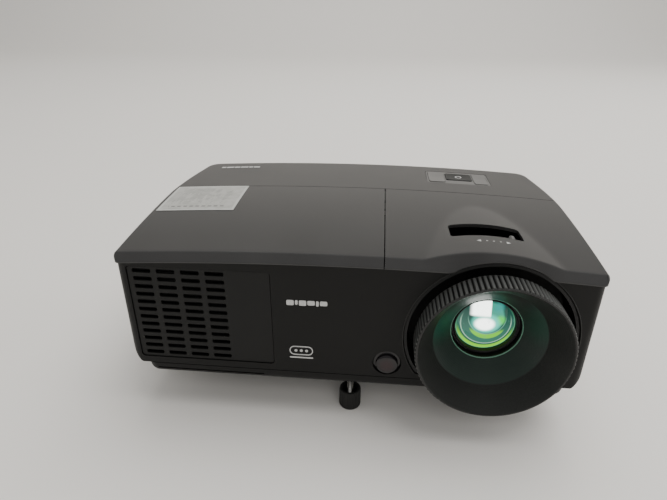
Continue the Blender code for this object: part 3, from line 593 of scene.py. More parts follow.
def front_rim(inner, crest, foot, low_z):
    """Rim points from the surface's edge over the crest, down the chamfer and the short drop."""
    after = toward(crest, foot, FILLET)
    before = toward(foot, crest, 0.35)
    drop = (foot[0], foot[1], foot[2] - 0.35)
    points = bend(inner, crest, after) + [after]
    points += [tuple(p + (q - p) * t for p, q in zip(after, before)) for t in (0.35, 0.7)]
    points += [before] + bend(before, foot, drop, 2) + [drop, (foot[0], foot[1], low_z)]
    return points


RIM_COUNT = 11


def side_rim(inner, outer_xy, soft, low_z):
    """As many points round a side edge: a quarter turn, then straight down."""
    points = []
    turn = RIM_COUNT - 2
    for k in range(1, turn + 1):
        angle = math.pi / 2 * k / turn
        t, drop = math.sin(angle), soft * (1 - math.cos(angle))
        points.append((inner[0] + (outer_xy[0] - inner[0]) * t,
                       inner[1] + (outer_xy[1] - inner[1]) * t, inner[2] - drop))
    low = points[-1][2]
    points.append((outer_xy[0], outer_xy[1], (low + low_z) / 2))
    points.append((outer_xy[0], outer_xy[1], low_z))
    return points


def add_rim(points, faces, border):
    strips = []
    for start, rim in border:
        strips.append([start] + list(range(len(points), len(points) + len(rim))))
        points += rim
    for a, b in zip(strips, strips[1:]):
        for k in range(len(a) - 1):
            faces.append(list(dict.fromkeys([b[k], a[k], a[k + 1], b[k + 1]])))


def mixed(first, second, t):
    return [tuple(a + (b - a) * t for a, b in zip(p, q)) for p, q in zip(first, second)]


def front_cover_skin(side, columns, rows, thin):
    seam = SEAM_X + side * GAP
    crest_y = CREST_Y + 0.4 * thin
    points, width = [], len(columns)

    def side_values(y):
        soft = edge_soft(y)
        return side * (side_x(y) - soft - 0.6 * thin), side * (side_x(y) - thin), soft

    for y in rows:
        edge = side_values(y)[0]
        at = max(y, crest_y + FILLET)
        for u in columns:
            x = seam + (edge - seam) * u
            points.append((x, at, top_z(x, at) - thin))
    faces = grid_faces(len(rows), width)

    def crest_at(x):
        return x, crest_y, top_z(x, crest_y) - thin

    border = []
    for c in range(width):
        x = points[c][0]
        aside = abs(x - LENS_X)
        over_lens = max(0.0, min(1.0, (30.0 - aside) / 10.0)) if x > 0 else 0.0
        reach = x if abs(x) < 125.0 else math.copysign(125.0 + (abs(x) - 125.0) * 0.8, x)
        low = skirt_z(reach)
        foot = (reach, LIP_Y + 2.0 * over_lens * over_lens * (3 - 2 * over_lens) + thin,
                low + 0.8 - 0.3 * (thin > 0))
        border.append((c, front_rim(points[c], crest_at(x), foot, low)))
    corner = width - 1
    radius = 4.2 - thin
    steps = 9
    for k in range(1, steps + 1):
        angle = math.pi / 2 * k / steps
        outer = (side * (HALF_WIDTH - thin - radius + radius * math.sin(angle)),
                 LIP_Y + thin + radius - radius * math.cos(angle))
        low = skirt_z(outer[0]) + (PARTING_Z - skirt_z(outer[0])) * k / steps
        flat = front_rim(points[corner], crest_at(points[corner][0]), (*outer, low + 0.8), low)
        full = side_rim(points[corner], outer, 1.5, low)
        t = max(0.0, (k - 2) / (steps - 2))
        border.append((corner, mixed(flat, full, t)))
    for r in range(1, len(rows)):
        at = r * width + corner
        _, outer_x, soft = side_values(rows[r])
        border.append((at, side_rim(points[at], (outer_x, rows[r]), soft, PARTING_Z)))
    add_rim(points, faces, border)
    if side > 0:
        return points, faces
    return points, [list(reversed(f)) for f in faces]


def rear_cover_skin(columns, rows, arc_steps, thin):
    points, left, right = [], [], []
    width = len(columns)

    def add_row(inner_xy, outer_xy, soft):
        xi, yi = inner_xy
        start = len(points)
        for u in columns:
            points.append((xi * u, yi, top_z(xi * u, yi) - thin))
        z = top_z(xi, yi) - thin
        right.append((start + width - 1, side_rim((xi, yi, z), outer_xy, soft, PARTING_Z)))
        left.append((start, side_rim((-xi, yi, z), (-outer_xy[0], outer_xy[1]), soft, PARTING_Z)))

    for y in rows:
        soft = edge_soft(y)
        add_row((side_x(y) - soft - 0.6 * thin, y), (side_x(y) - thin, y), soft)
    for k in range(1, arc_steps + 1):
        angle = math.pi / 2 * k / arc_steps
        soft = 4.0 + 3.2 * math.sin(angle)
        add_row(rear_corner(angle, soft + 0.6 * thin, soft + 0.6 * thin),
                rear_corner(angle, thin, thin), soft)
    faces = grid_faces(len(right), width)
    last = (len(right) - 1) * width
    back = []
    for c in range(width - 2, 0, -1):
        x, y, z = points[last + c]
        back.append((last + c, side_rim((x, y, z), (x, REAR_Y - thin), REAR_SOFT, PARTING_Z)))
    add_rim(points, faces, right + back + list(reversed(left)))
    return points, faces


def spread(count, low=0.0, high=1.0):
    return [low + (high - low) * k / (count - 1) for k in range(count)]


def cover(name, skin, *args):
    outer, faces = skin(*args, 0.0)
    inner, _ = skin(*args, WALL)
    return stand_in(name, thicken(outer, inner, faces), COVER, smooth_deg=24)


def build_covers():
    rows = [CREST_Y + FILLET] + spread(38, -73.0, SEAM_Y - GAP)
    made = cover("lens_cover", front_cover_skin, 1, spread(64), rows)
    soften(carve(made, only(add_prism, rounded(*ZOOM_SLOT, 2.4), *THROUGH_COVER)), 0.5, 3)
    rows = [CREST_Y + FILLET] + spread(26, -72.0, SEAM_Y - GAP)
    cover("lamp_door", front_cover_skin, -1, spread(44), rows)
    rows = spread(18, SEAM_Y + GAP, REAR_ARC_Y)
    made = cover("rear_cover", rear_cover_skin, spread(61, -1.0, 1.0), rows, 14)
    soften(carve(made, only(add_prism, grown(KEYPAD, GAP, 2.2), *THROUGH_COVER)), 0.35)


# --- lower casing ---
CORNER_R, TRAY_CORNER_R, TRAY_REAR_R = 6.0, 8.0, 20.0
TRAY_SIDE_INSET, TRAY_REAR_INSET = 8.5, 11.0
ROUND_STEPS = 10


def plan(front, side_inset, corner, rear_inset, rear_radius):
    """Outline of the casing seen from above, from its left front corner right round."""
    corner = max(0.6, corner)
    turns = [math.pi / 2 * k / ROUND_STEPS for k in range(ROUND_STEPS + 1)]
    straight = [(x, front) for x in spread(25, -125.0, 125.0)]
    right = [(HALF_WIDTH - side_inset - corner + corner * math.sin(a),
              front + corner - corner * math.cos(a)) for a in turns]
    right += [(side_x(y) - side_inset, y) for y in spread(18, -58.0, 70.0)]
    right += [rear_corner(a, side_inset, rear_inset, rear_radius) for a in turns]
    left = [(-x, y) for x, y in reversed(right)]
    return straight + right + [(0.0, REAR_Y - rear_inset)] + left


def wall_outline(inset, front_inset):
    return plan(FACE_Y + front_inset, inset, CORNER_R - inset, inset, REAR_CORNER_R)


def tray_outline(inset):
    return plan(FACE_Y + inset, TRAY_SIDE_INSET + inset, TRAY_CORNER_R - inset,
                TRAY_REAR_INSET + inset, TRAY_REAR_R)


def loft(levels):
    points, faces = [], []
    count = len(levels[0][0])
    for outline, z in levels:
        for x, y in outline:
            top = (EDGE_TOP_Z - crown(x) if y < CREST_Y + 2.0 else PARTING_Z) - GAP
            points.append((x, y, top if z is None else z))
    for row in range(len(levels) - 1):
        for k in range(count):
            n = (k + 1) % count
            a, b = row * count, (row + 1) * count
            faces.append([a + k, a + n, b + n, b + k])
    return points, faces


WALL_STEPS = ((6.0, 0.0), (4.6, 0.6), (3.2, 1.6), (1.9, 3.0), (1.0, 4.6), (0.35, 6.4), (0.0, 8.5))
TRAY_STEPS = ((4.2, 0.0), (2.8, 0.5), (1.4, 1.6), (0.5, 3.0), (0.0, 5.0))


def wall_levels(inward, flange=True):
    lift = WALL if inward else 0.0
    levels = [(wall_outline(15.0, 15.0), FOOT_Z + lift)] if flange else []
    levels += [(wall_outline(inset + lift, lift), FOOT_Z + rise + lift * 0.8)
               for inset, rise in WALL_STEPS]
    return levels + [(wall_outline(lift, lift), None)]


def tray_levels(inward):
    lift, inset = (WALL, 2.0) if inward else (0.0, 0.0)
    levels = [(tray_outline(draw + inset), BASE_Z + rise + lift) for draw, rise in TRAY_STEPS]
    return levels + [(tray_outline(inset), FOOT_Z - 0.6 + lift)] + wall_levels(inward, False)


def shell(levels_of, floor):
    outer, faces = loft(levels_of(False))
    inner, _ = loft(levels_of(True))
    if floor:
        faces.append(list(reversed(range(len(tray_outline(0.0))))))
    return thicken(outer, inner, faces)


def lens_opening(radius, flat_z, steps=120):
    half = math.sqrt(radius ** 2 - (LENS_Z - flat_z) ** 2)
    start = math.atan2(flat_z - LENS_Z, half)
    sweep = math.pi - 2 * start
    return [(LENS_X + radius * math.cos(start + sweep * k / steps),
             LENS_Z + radius * math.sin(start + sweep * k / steps)) for k in range(steps + 1)]


def build_bezel():
    made = stand_in("front_bezel", shell(wall_levels, False), BODY)
    carve(made, only(add_box, (-150.0, -90.0, FOOT_Z - 5.0), (150.0, BEZEL_BACK_Y, 130.0)), "INTERSECT")
    carve(made, only(add_prism, lens_opening(51.7, 41.0), "Y", -85.0, -50.0))
    tools = only(add_lathe, RING_BACK_SEAT, "Y", AXIS, 96)
    add_prism(tools, grown(GRILLE, GAP, 2.3), *THROUGH_FRONT)
    add_lathe(tools, rod(9.0, -85.0, -70.0), "Y", (IR_X, 0, IR_Z), 48)
    soften(carve(made, tools), 0.45, 3)


def build_well_bead():
    """Thin rounded bead on the bezel round both sides of the lens well, coloured lighter than the casing as a
    painted highlight along the well's edge.
    """
    bm = bmesh.new()
    for start, end in ((-33.0, 57.0), (123.0, 213.0)):
        loops = []
        for k in range(61):
            angle = math.radians(start + (end - start) * k / 60)
            loop = []
            for j in range(10):
                turn = math.tau * j / 10
                r, y = 52.15 + 0.35 * math.cos(turn), FACE_Y - 0.02 + 0.32 * math.sin(turn)
                loop.append(bm.verts.new(on_axis("Y", AXIS, r, angle, y)))
            loops.append(loop)
        bridge(bm, loops)
        bm.faces.new(loops[0])
        bm.faces.new(list(reversed(loops[-1])))
    put("well_bead", bm, LIT_BEAD)


def build_exhaust_grille():
    """Inset panel with rows of rounded slots and a slanting louvre behind each row."""
    top = GRILLE[1][1]
    panel = only(add_prism, rounded(*GRILLE, 2.0), "Y", FACE_Y + 0.6, FACE_Y + WALL)
    made = stand_in("exhaust_grille", panel, GRILLE_BODY)
    tools, blades = bmesh.new(), bmesh.new()
    tilt = Matrix.Rotation(math.radians(-38), 3, "X")
    behind = FACE_Y + WALL
    for row in range(12):
        z = 105.9 - 5.5 * row
        for column in range(4):
            x = -133.7 + 15.04 * column
            add_prism(tools, rounded((x, z - 1.35), (x + 11.5, z + 1.35), 0.8, 3), *THROUGH_FRONT)
        add_box(blades, (-135.0, behind + 0.5, z - 1.9), (-75.0, behind + 4.6, z - 1.2), tilt)
    soften(carve(made, tools), 0.22)
    for x in (-135.8, -120.2, -105.2, -90.1, -75.0):
        add_box(blades, (x - 0.5, behind + 0.3, top - 66.5), (x + 0.5, behind + 4.8, top - 0.8))
    put("exhaust_louvres", blades, GRILLE_BODY)


def build_bottom_case():
    made = stand_in("bottom_case", shell(tray_levels, True), BODY)
    carve(made, only(add_box, (-150.0, -90.0, FOOT_Z - 0.4), (150.0, BEZEL_BACK_Y + GAP, 130.0)))
    tools = bmesh.new()
    for xs in ((-150.0, -130.0), (130.0, 150.0)):
        add_prism(tools, grown(SIDE_GRILLE, GAP, 2.3), "X", *xs)
    for opening in (REAR_PANEL, AC_INLET):
        add_prism(tools, grown(opening, GAP, 1.4), *THROUGH_REAR)
    add_lathe(tools, RING_BACK_SEAT, "Y", AXIS, 96)
    for x, y in FEET.values():
        add_lathe(tools, rod(2.3, *THROUGH_BASE[1:]), "Z", (x, y, 0), 32)
    for k in range(9):
        x = -118.0 + 6.2 * k
        add_prism(tools, rounded((x, -52.0), (x + 3.0, -12.0), 1.4), *THROUGH_BASE)
    carve(made, tools)
    grooves = only(add_box, (-128.0, FACE_Y - 1.0, 32.3), (-56.0, FACE_Y + 1.2, 33.4))
    for x, y in BASE_SCREWS:
        add_lathe(grooves, rod(3.4, BASE_Z - 1.0, BASE_Z + 1.2), "Z", (x, y, 0), 32)
    soften(carve(made, grooves), 0.4)
    screws = bmesh.new()
    head = [(r, BASE_Z + rise) for r, rise in ((0, 1.35), (2.9, 1.35), (2.9, 0.7), (2.2, 0.3), (0.9, 0.25),
                                               (0.8, 0.9), (0, 0.9))]
    for x, y in BASE_SCREWS:
        add_lathe(screws, head, "Z", (x, y, 0), 24)
    put("base_screws", screws, STEEL)


def build_side_grilles():
    (y0, z0), (y1, _) = SIDE_GRILLE
    for name, side in (("left_grille", -1), ("right_grille", 1)):
        made = stand_in(name, shell(wall_levels, False), GRILLE_BODY)
        xs = sorted((side * 130.0, side * 150.0))
        carve(made, only(add_prism, rounded(*SIDE_GRILLE, 2.0), "X", *xs), "INTERSECT")
        tools, blades = bmesh.new(), bmesh.new()
        tilt = Matrix.Rotation(math.radians(side * 38), 3, "Y")
        inside = sorted((side * (HALF_WIDTH - WALL - 4.6), side * (HALF_WIDTH - WALL - 1.0)))
        for row in range(7):
            z = z0 + 4.0 + 6.2 * row
            for column in range(4):
                y = y0 + 4.0 + 17.8 * column
                add_prism(tools, rounded((y, z), (y + 14.0, z + 3.4), 0.9, 3), "X", *xs)
            add_box(blades, (inside[0], y0 + 2.0, z - 0.7), (inside[1], y1 - 2.0, z + 0.1), tilt)
        soften(carve(made, tools), 0.22)
        put(name + "_louvres", blades, GRILLE_BODY)


# --- top details ---
def drape(bm, low, high, lift, thickness, cells, hollow=None):
    """Thin plate that follows the top surface; hollow(x, y) sinks its upper side."""
    (x0, y0), (x1, y1), (across, along) = low, high, cells
    layers = []
    for down in (0.0, thickness):
        grid = []
        for j in range(along + 1):
            for i in range(across + 1):
                x, y = x0 + (x1 - x0) * i / across, y0 + (y1 - y0) * j / along
                sink = hollow(x, y) if hollow and down == 0.0 else 0.0
                grid.append(bm.verts.new((x, y, top_z(x, y) + lift - down - sink)))
        layers.append(grid)
    add_skin(bm, *layers, grid_faces(along + 1, across + 1))


def middle(box):
    (x0, y0), (x1, y1) = box
    return (x0 + x1) / 2, (y0 + y1) / 2


def build_keypad():
    plate = stand_in("keypad_plate", only(drape, *KEYPAD, -0.15, 2.0, (40, 18)), KEY)
    carve(plate, only(add_prism, rounded(*KEYPAD, 2.0), *THROUGH_KEYS), "INTERSECT")
    holes = bmesh.new()
    for key in KEYS.values():
        add_prism(holes, grown(key, GAP, 2.0), *THROUGH_KEYS)
    soften(carve(plate, holes), 0.25)
    for name, (low, high) in KEYS.items():
        cx, cy = middle((low, high))
        reach = max(high[0] - low[0], high[1] - low[1]) / 2
        top = only(drape, low, high, 0.35, 2.6, (16, 12),
                   lambda x, y: 0.45 * max(0.0, 1 - math.hypot(x - cx, y - cy) / reach))
        key = stand_in(name, top, POWER_KEY if name == "power_key" else KEY, name)
        shape = only(add_prism, rounded(low, high, 1.8), *THROUGH_KEYS)
        soften(carve(key, shape, "INTERSECT"), 0.4, 3)
    cx, cy = middle(KEYS["power_key"])
    z = top_z(cx, cy) + 0.16
    put("key_glyph", only(add_lathe, tube(2.6, 1.9, z - 0.6, z), "Z", (cx, cy, 0), 32), MARK, "power_key")


def build_zoom_marks():
    """Generic marks under the zoom slot: an arrowhead at each end of a row of dots."""
    bm = bmesh.new()
    for x in (78.0, 82.0, 86.0):
        drape(bm, (x - 0.45, -59.4), (x + 0.45, -58.5), 0.04, 0.2, (2, 2))
    for x, way in ((73.6, -1.0), (90.4, 1.0)):
        corners = (x + way * 1.6, -59.0), (x - way * 0.9, -60.3), (x - way * 0.9, -57.7)
        layers = [[bm.verts.new((px, py, top_z(px, py) + lift)) for px, py in corners]
                  for lift in (0.06, -0.2)]
        add_skin(bm, *layers, [[0, 1, 2]])
    put("zoom_marks", bm, MARK)


def build_trims():
    label = only(drape, (-140.6, -19.4), (-85.4, 27.1), GAP + 0.02, 0.25, (24, 22))
    stand_in("lamp_label", label, LABEL)
    bm = bmesh.new()
    x = -121.0
    for width in (3.4, 6.2, 4.4, 6.2, 3.4, 5.0):
        drape(bm, (x, 74.9), (x + width, 77.6), GAP, 0.3, (3, 2))
        x += width + 0.85
    stand_in("top_badge", bm, MARK)
    bm = bmesh.new()
    x = -39.3
    for k, width in enumerate((5.2, 2.4, 5.2, 5.2, 2.4, 5.2)):
        low = 87.6 if k % 2 == 0 else 88.1
        add_prism(bm, rounded((x, low), (x + width - 0.7, 91.2), 0.7, 3), *MARK_DEPTH)
        x += width
    stand_in("front_badge", bm, MARK)
    bm = only(add_frame, rounded((-38.5, 50.4), (-23.5, 57.2), 3.3, 8),
              rounded((-37.9, 51.0), (-24.1, 56.6), 2.7, 8), *MARK_DEPTH[1:])
    for k in range(3):
        add_lathe(bm, rod(0.95, *MARK_DEPTH[1:]), "Y", (-34.4 + 3.4 * k, 0, 53.8), 20)
    add_prism(bm, rounded((-38.5, 48.0), (-23.5, 48.9), 0.4, 3), *MARK_DEPTH)
    stand_in("front_emblem", bm, MARK)


# --- rear ---
SOCKETS = {"hdmi_socket": ((84.0, 86.0), (101.0, 94.0)), "vga_socket": ((46.0, 84.0), (77.0, 97.0)),
           "serial_socket": ((8.0, 84.0), (39.0, 97.0)), "usb_socket": ((-10.0, 86.0), (0.0, 94.0))}
JACKS = ((-54.0, 84.0), (-18.0, 97.0))


def trapezoid(low, high, draw, radius):
    points = rounded(low, high, radius, 4)
    mid = (low[0] + high[0]) / 2
    span = high[1] - low[1]
    return [(x + (mid - x) / (high[0] - mid) * draw * (high[1] - y) / span, y) for x, y in points]


def build_pin_socket(fill, pins, middle_xz, half, rows):
    """D-shaped insulator with rows of contacts, and a hexagon screw at each side."""
    mid_x, mid_z = middle_xz
    shape = trapezoid((mid_x - half, mid_z - 4.0), (mid_x + half, mid_z + 4.0), 1.3, 1.2)
    add_prism(fill, shape, "Y", 80.5, 90.5)
    for r, count in enumerate(rows):
        for k in range(count):
            x = mid_x + (k - (count - 1) / 2) * 2.5 + (1.1 if len(rows) == 3 and r == 1 else 0)
            z = mid_z + ((len(rows) - 1) / 2 - r) * 2.3
            add_lathe(pins, rod(0.4, 90.4, 91.2), "Y", (x, 0, z), 12)
    nut = [(0, 88.0), (2.4, 88.0), (2.6, 93.6), (1.6, 94.1), (1.5, 91.0), (0, 91.0)]
    for sign in (-1, 1):
        add_lathe(pins, nut, "Y", (mid_x + sign * (half + 3.2), 0, mid_z), 6)


def build_tongue_socket(fill, pins, middle_xz, width):
    """Flat tongue with a row of spring contacts."""
    mid_x, mid_z = middle_xz
    add_prism(fill, rounded((mid_x - width * 0.36, mid_z - 1.0), (mid_x + width * 0.36, mid_z + 0.6), 0.3, 2),
              "Y", 80.5, 91.0)
    for k in range(8):
        x = mid_x + (k - 3.5) * width * 0.085
        add_box(pins, (x - 0.18, 82.0, mid_z + 0.55), (x + 0.18, 90.6, mid_z + 0.75))


def build_sockets():
    pin_rows = {"vga_socket": (5, 5, 5), "serial_socket": (5, 4)}
    for name, (low, high) in SOCKETS.items():
        a, b = (low[0] + 1.2, low[1] + 1.2), (high[0] - 1.2, high[1] - 1.2)
        bm = only(add_frame, rounded(low, high, 0.6), rounded(a, b, 0.6), 80.0, REAR_Y - 0.5)
        add_box(bm, (low[0] + 0.3, 78.0, low[1] + 0.3), (high[0] - 0.3, 80.1, high[1] - 0.3))
        soften(stand_in(name, bm, STEEL), 0.2)
        fill, pins = bmesh.new(), bmesh.new()
        if name in pin_rows:
            build_pin_socket(fill, pins, middle((a, b)), (b[0] - a[0]) / 2 - 6.0, pin_rows[name])
        else:
            build_tongue_socket(fill, pins, middle((a, b)), b[0] - a[0])
        put(name + "_core", fill, BLUE if name == "vga_socket" else DULL)
        put(name + "_contacts", pins, STEEL if name in pin_rows else GOLD)


def build_rear():
    slab = only(add_prism, rounded(*REAR_PANEL, 1.2), "Y", REAR_Y - WALL, REAR_Y - 0.2)
    panel = stand_in("rear_panel", slab, GRILLE_BODY)
    tools = bmesh.new()
    for opening in (*SOCKETS.values(), JACKS):
        add_prism(tools, grown(opening, GAP, 0.8), *THROUGH_REAR)
    for row in range(5):
        for column in range(9):
            x, z = -50.0 + 17.0 * column, 50.5 + 5.6 * row
            add_prism(tools, rounded((x, z), (x + 13.0, z + 2.8), 1.2, 4), "Y", REAR_Y - 1.4, 100.0)
    soften(carve(panel, tools), 0.25)
    build_sockets()
    jacks = stand_in("av_jacks", only(add_prism, rounded(*JACKS, 0.8), "Y", 78.0, REAR_Y - 0.5), DULL)
    tools, sleeves = bmesh.new(), bmesh.new()
    for k in range(3):
        centre = (-48.0 + 12.0 * k, 0, 90.5)
        add_lathe(tools, rod(3.7, 82.0, 99.0), "Y", centre, 32)
        add_lathe(sleeves, tube(3.5, 2.6, 82.2, REAR_Y - 0.9), "Y", centre, 32)
    soften(carve(jacks, tools), 0.25)
    put("av_jack_sleeves", sleeves, STEEL)
    (x0, z0), (x1, z1) = AC_INLET
    bm = only(add_frame, rounded(*AC_INLET, 1.6), grown(AC_INLET, -2.0, 2.6), 80.0, REAR_Y - 0.3)
    add_box(bm, (x0 + 0.6, 76.0, z0 + 0.6), (x1 - 0.6, 80.1, z1 - 0.6))
    soften(stand_in("ac_inlet", bm, DULL), 0.3)
    blades = bmesh.new()
    for x, z in ((-97.5, 58.0), (-83.5, 58.0), (-90.5, 62.0)):
        add_box(blades, (x - 1.0, 79.9, z - 2.0), (x + 1.0, 91.0, z + 2.0))
    soften(put("inlet_blades", blades, STEEL), 0.3)


# --- front details and lens ---
def build_ir():
    profile = [(0, -81.0), (2.5, -80.95), (4.8, -80.85), (6.1, -80.6), (6.7, -80.2), (6.95, -79.7),
               (7.0, -77.9), (7.3, -77.7), (8.4, -77.5), (8.7, -77.2), (8.7, -75.0), (0, -75.0)]
    stand_in("ir_window", only(add_lathe, profile, "Y", (IR_X, 0, IR_Z), 64), IR)


RIBS = 96
PER_RIB = 6


def rib(k, row, radius):
    """Radius round the ring: flat-topped ribs between narrow grooves on the rows that are ribbed."""
    if row not in RIB_ROWS:
        return radius
    return radius - 1.35 * (0.0, 0.0, 0.0, 0.35, 1.0, 0.45)[k % PER_RIB]


RING_PROFILE = [(44.3, -94.95), (44.7, -95.0), (45.05, -94.9), (45.2, -94.65), (45.2, -94.3),
                (45.7, -94.1), (45.8, -93.6), (45.8, -86.0), (45.8, -81.0), (45.7, -80.3),
                (45.2, -80.0), (45.1, -79.3), (43.6, -79.3),
                (43.6, -90.5), (35.3, -77.6), (23.4, -65.8), (23.4, -57.0),
                (21.45, -57.0), (21.45, -66.9), (33.6, -78.95), (34.2, -79.5), (44.0, -94.75)]
RIB_ROWS = (5, 6, 7, 8, 9)


def build_ring():
    ring = only(add_lathe, RING_PROFILE, "Y", AXIS, RIBS * PER_RIB, rib)
    stand_in("focus_ring", ring, RING, "focus_ring", 24)
    outer = [(44.05, -94.86)]
    count = 22
    for k in range(count + 1):
        t = k / count
        ridge = 0.10 if k % 2 else 0.0
        outer.append((43.8 - 9.6 * t, -94.62 + 15.0 * t - ridge))
    outer += [(33.9, -79.25), (33.4, -78.95), (28.0, -73.55), (23.0, -68.55), (22.0, -67.6), (21.65, -67.15)]
    back = [(21.75, -66.9), (33.5, -78.6), (34.0, -79.0), (44.2, -94.5)]
    put("focus_dish", only(add_lathe, outer + back, "Y", AXIS, 192), DISH, "focus_ring", smooth_deg=40)
    lip = [(21.65, -67.25), (22.1, -67.75), (22.35, -67.7), (21.8, -67.0)]
    put("dish_lip", only(add_lathe, lip, "Y", AXIS, 160), RIM_GLOW, "focus_ring")


def build_lens():
    well = [(51.4, -77.6), (51.4, -52.0), (27.0, -52.0), (27.0, -53.8), (45.0, -53.8), (49.0, -55.0),
            (49.6, -58.0), (49.6, -77.6)]
    shroud = stand_in("lens_shroud", only(add_lathe, well, "Y", AXIS, 160), DULL)
    carve(shroud, only(add_box, (20.0, -90.0, 0.0), (150.0, -40.0, 41.3)))
    barrel = [(20.0, -63.6), (21.1, -63.6), (21.1, -13.0), (20.0, -13.0)]
    stand_in("lens_barrel", only(add_lathe, barrel, "Y", AXIS, 128), DULL)
    cell = [(18.7, -64.0), (18.9, -64.4), (19.4, -64.4), (19.7, -64.0), (19.7, -48.0), (18.7, -48.0)]
    stand_in("front_lens_cell", only(add_lathe, cell, "Y", AXIS, 128), DULL, "front_lens_cell")
    dome = [(18.4 * t, -65.6 + 4.0 * t * t) for t in (k / 16 for k in range(17))]
    dome += [(18.4, -56.0), (12.0, -58.4), (6.0, -59.7), (0, -60.0)]
    stand_in("front_lens", only(add_lathe, dome, "Y", AXIS, 128), LENS, "front_lens_cell")
    group = [(0, -36.5), (4.0, -36.4), (8.0, -36.0), (14.0, -34.0), (18.0, -33.6), (18.9, -33.4),
             (18.9, -26.0), (12.0, -26.5), (0, -27.5)]
    stand_in("zoom_lens_group", only(add_lathe, group, "Y", AXIS, 64), GLASS, "zoom_lens_group")


def build_zoom_ring():
    profile = [(21.4, -50.0), (28.9, -50.0), (29.5, -49.4), (29.5, -37.6), (28.9, -37.0), (21.4, -37.0)]
    ring = only(add_lathe, profile, "Y", AXIS, 180,
                lambda k, row, r: r - (0.5 if k % 3 == 0 and 29 < r else 0.0))
    stand_in("zoom_ring", ring, RING, "zoom_ring")
    lever = only(add_prism, rounded((-1.3, -47.0), (1.3, -39.5), 0.6, 4), "Z", 28.6, 53.0)
    for k in range(4):
        y = -46.2 + 1.55 * k
        add_prism(lever, rounded((-1.2, y), (1.2, y + 0.8), 0.3, 3), "Z", 52.9, 53.9)
    turn = Matrix.Rotation(math.radians(ZOOM_REST_DEG), 3, "Y")
    for vert in lever.verts:
        vert.co = Vector(AXIS) + turn @ vert.co
    soften(put("zoom_lever", lever, LEVER, "zoom_ring"), 0.2)


# --- feet ---
def build_feet():
    cup = [(0, 0.05), (6.3, 0.05), (6.9, 0.3), (7.3, 1.0), (7.4, 1.6), (7.4, 13.2), (7.2, 14.0),
           (6.8, KNOB_TOP_Z), (5.7, KNOB_TOP_Z), (5.35, 14.2), (5.3, 13.6), (5.3, 6.0), (0, 6.0)]
    thread = [(0, 6.3), (3.4, 6.3), (3.6, 6.6), (3.6, 8.0), (1.95, 8.2)]
    z = 8.6
    while z < 46.0:
        thread += [(1.98, z), (1.62, z + 0.35)]
        z += 0.7
    thread += [(1.6, 47.0), (0, 47.0)]

    def grip(k, row, radius):
        return radius - (0.0, 0.0, 0.25, 0.42, 0.25, 0.0)[k % 6] if row in (4, 5) else radius

    for spot, (x, y) in FEET.items():
        knob, screw = spot + "_foot_knob", spot + "_foot_screw"
        stand_in(knob, only(add_lathe, cup, "Z", (x, y, 0), 144, grip), RUBBER, knob)
        stand_in(screw, only(add_lathe, thread, "Z", (x, y, 0), 32), STEEL, screw, 50)


# --- carried-over nodes ---
POWER_KEY = moulded("power_key_satin", "key_grey", (0.018, 0.019, 0.019), 0.36, 0.4, 0.006, 0.14)
LEVER = moulded("lever_satin", "ring_black", (0.20, 0.20, 0.195), 0.42, 0.4, 0.008)
RIM_GLOW = moulded("lit_rim", "ring_black", (0.14, 0.30, 0.22), 0.30, 0.5, 0.004)
BY_SLOT = {"shell_grey": COVER, "shell_black": BODY, "ring_black": RING, "inner_black": DULL, "key_grey": KEY,
           "mark_silver": MARK, "foil_label": LABEL, "glass": GLASS, "ir_red": IR, "steel": STEEL,
           "rubber": RUBBER, "aluminium": ALU, "board_green": BOARD, "lamp_ceramic": CERAMIC,
           "mirror": MIRROR, "socket_blue": BLUE}


def dress_frame():
    slots = {row["node"]: row["material_slot"] for row in frame["record"]["subparts"]}
    for name, node in frame["nodes"].items():
        finish = BY_SLOT[slots[name]]
        node.data.materials.clear()
        node.data.materials.append(finish.material)


# --- studio ---
def plain(name, base, roughness):
    made = bpy.data.materials.new(name)
    made.use_nodes = True
    shader = made.node_tree.nodes["Principled BSDF"]
    noise = made.node_tree.nodes.new("ShaderNodeTexNoise")
    noise.inputs["Scale"].default_value = 3.0
    ramp = made.node_tree.nodes.new("ShaderNodeMix")
    ramp.data_type = "RGBA"
    ramp.inputs[6].default_value = (*tinted(base, 0.985), 1.0)
    ramp.inputs[7].default_value = (*tinted(base, 1.015), 1.0)
    made.node_tree.links.new(noise.outputs["Fac"], ramp.inputs[0])
    made.node_tree.links.new(ramp.outputs[2], shader.inputs["Base Color"])
    shader.inputs["Roughness"].default_value = roughness
    return made


WARM = (1.0, 0.985, 0.96)


def area_light(name, place, target, size, power, color=WARM, glossy=True):
    data = bpy.data.lights.new(name, "AREA")
    data.shape = "RECTANGLE"
    data.size, data.size_y = size
    data.energy = power
    data.color = color
    lamp = bpy.data.objects.new(name, data)
    lamp.location = place
    lamp.visible_glossy = glossy
    lamp.rotation_euler = (Vector(target) - Vector(place)).to_track_quat("-Z", "Y").to_euler()
    bpy.context.scene.collection.objects.link(lamp)


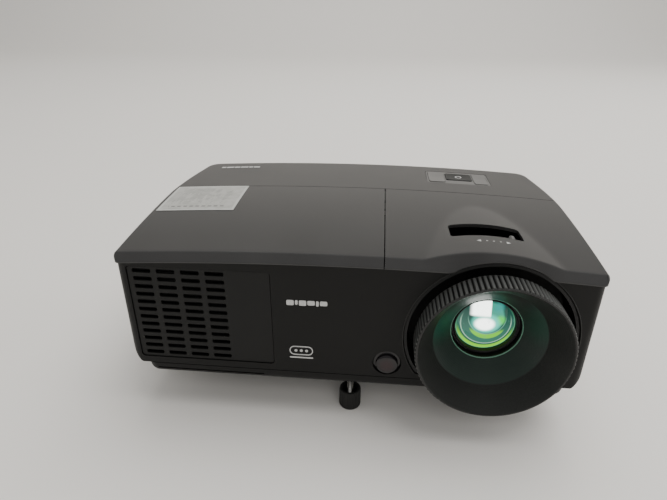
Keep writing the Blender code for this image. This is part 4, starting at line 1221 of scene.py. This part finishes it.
def build_studio():
    bm = bmesh.new()
    profile = [(-6.0, 0.0)] + [(2.2 + 1.2 * math.sin(a), 1.2 - 1.2 * math.cos(a))
                               for a in [math.pi / 2 * k / 16 for k in range(17)]] + [(3.4, 6.0)]
    rows = [[bm.verts.new((x, y, z)) for y, z in profile] for x in (-7.0, 7.0)]
    for k in range(len(profile) - 1):
        bm.faces.new([rows[0][k], rows[0][k + 1], rows[1][k + 1], rows[1][k]])
    floor = to_object("studio_floor", bm, 1.0)
    floor.data.materials.append(plain("floor_paint", (0.82, 0.80, 0.765), 0.7))
    world = bpy.data.worlds.new("studio_world")
    world.use_nodes = True
    background = world.node_tree.nodes["Background"]
    background.inputs["Color"].default_value = (1.0, 0.99, 0.975, 1.0)
    background.inputs["Strength"].default_value = 0.42
    bpy.context.scene.world = world
    area_light("overhead", (0.5, 0.25, 2.1), (0.1, 0.0, 0.1), (2.2, 1.6), 46.0, glossy=False)
    area_light("right_window", (2.0, 0.8, 0.65), (0.1, 0.0, 0.08), (1.3, 1.1), 12.0, (1.0, 0.98, 0.96))
    area_light("back_wash", (0.0, 1.5, 2.4), (0.0, 3.1, 0.5), (4.0, 0.8), 30.0)
    area_light("front_fill", (0.4, -1.5, 1.4), (0.05, 0.0, 0.05), (1.4, 0.9), 7.0, glossy=False)


def build_camera():
    """Stands in front and above, looking down onto the projector a little from its left."""
    yaw, pitch, roll = (math.radians(a) for a in (-5.088, 26.448, -0.342))
    forward = Vector((math.sin(yaw) * math.cos(pitch), math.cos(yaw) * math.cos(pitch), -math.sin(pitch)))
    right = Vector((math.cos(yaw), -math.sin(yaw), 0))
    down = forward.cross(right)
    right, down = (math.cos(roll) * right + math.sin(roll) * down,
                   math.cos(roll) * down - math.sin(roll) * right)
    data = bpy.data.cameras.new("photo_camera")
    data.sensor_width = 36.0
    data.lens = 27.526
    data.clip_start = 0.01
    camera = bpy.data.objects.new("photo_camera", data)
    placed = Matrix((right, -down, -forward)).transposed().to_4x4()
    placed.translation = Vector((12.14, -337.12, 255.19)) * MM
    camera.matrix_world = placed
    bpy.context.scene.collection.objects.link(camera)
    bpy.context.scene.camera = camera


for build in (build_covers, build_bezel, build_well_bead, build_exhaust_grille, build_bottom_case,
              build_side_grilles, build_keypad, build_zoom_marks, build_trims, build_rear, build_ir,
              build_ring, build_lens, build_zoom_ring, build_feet, dress_frame, build_studio, build_camera):
    build()
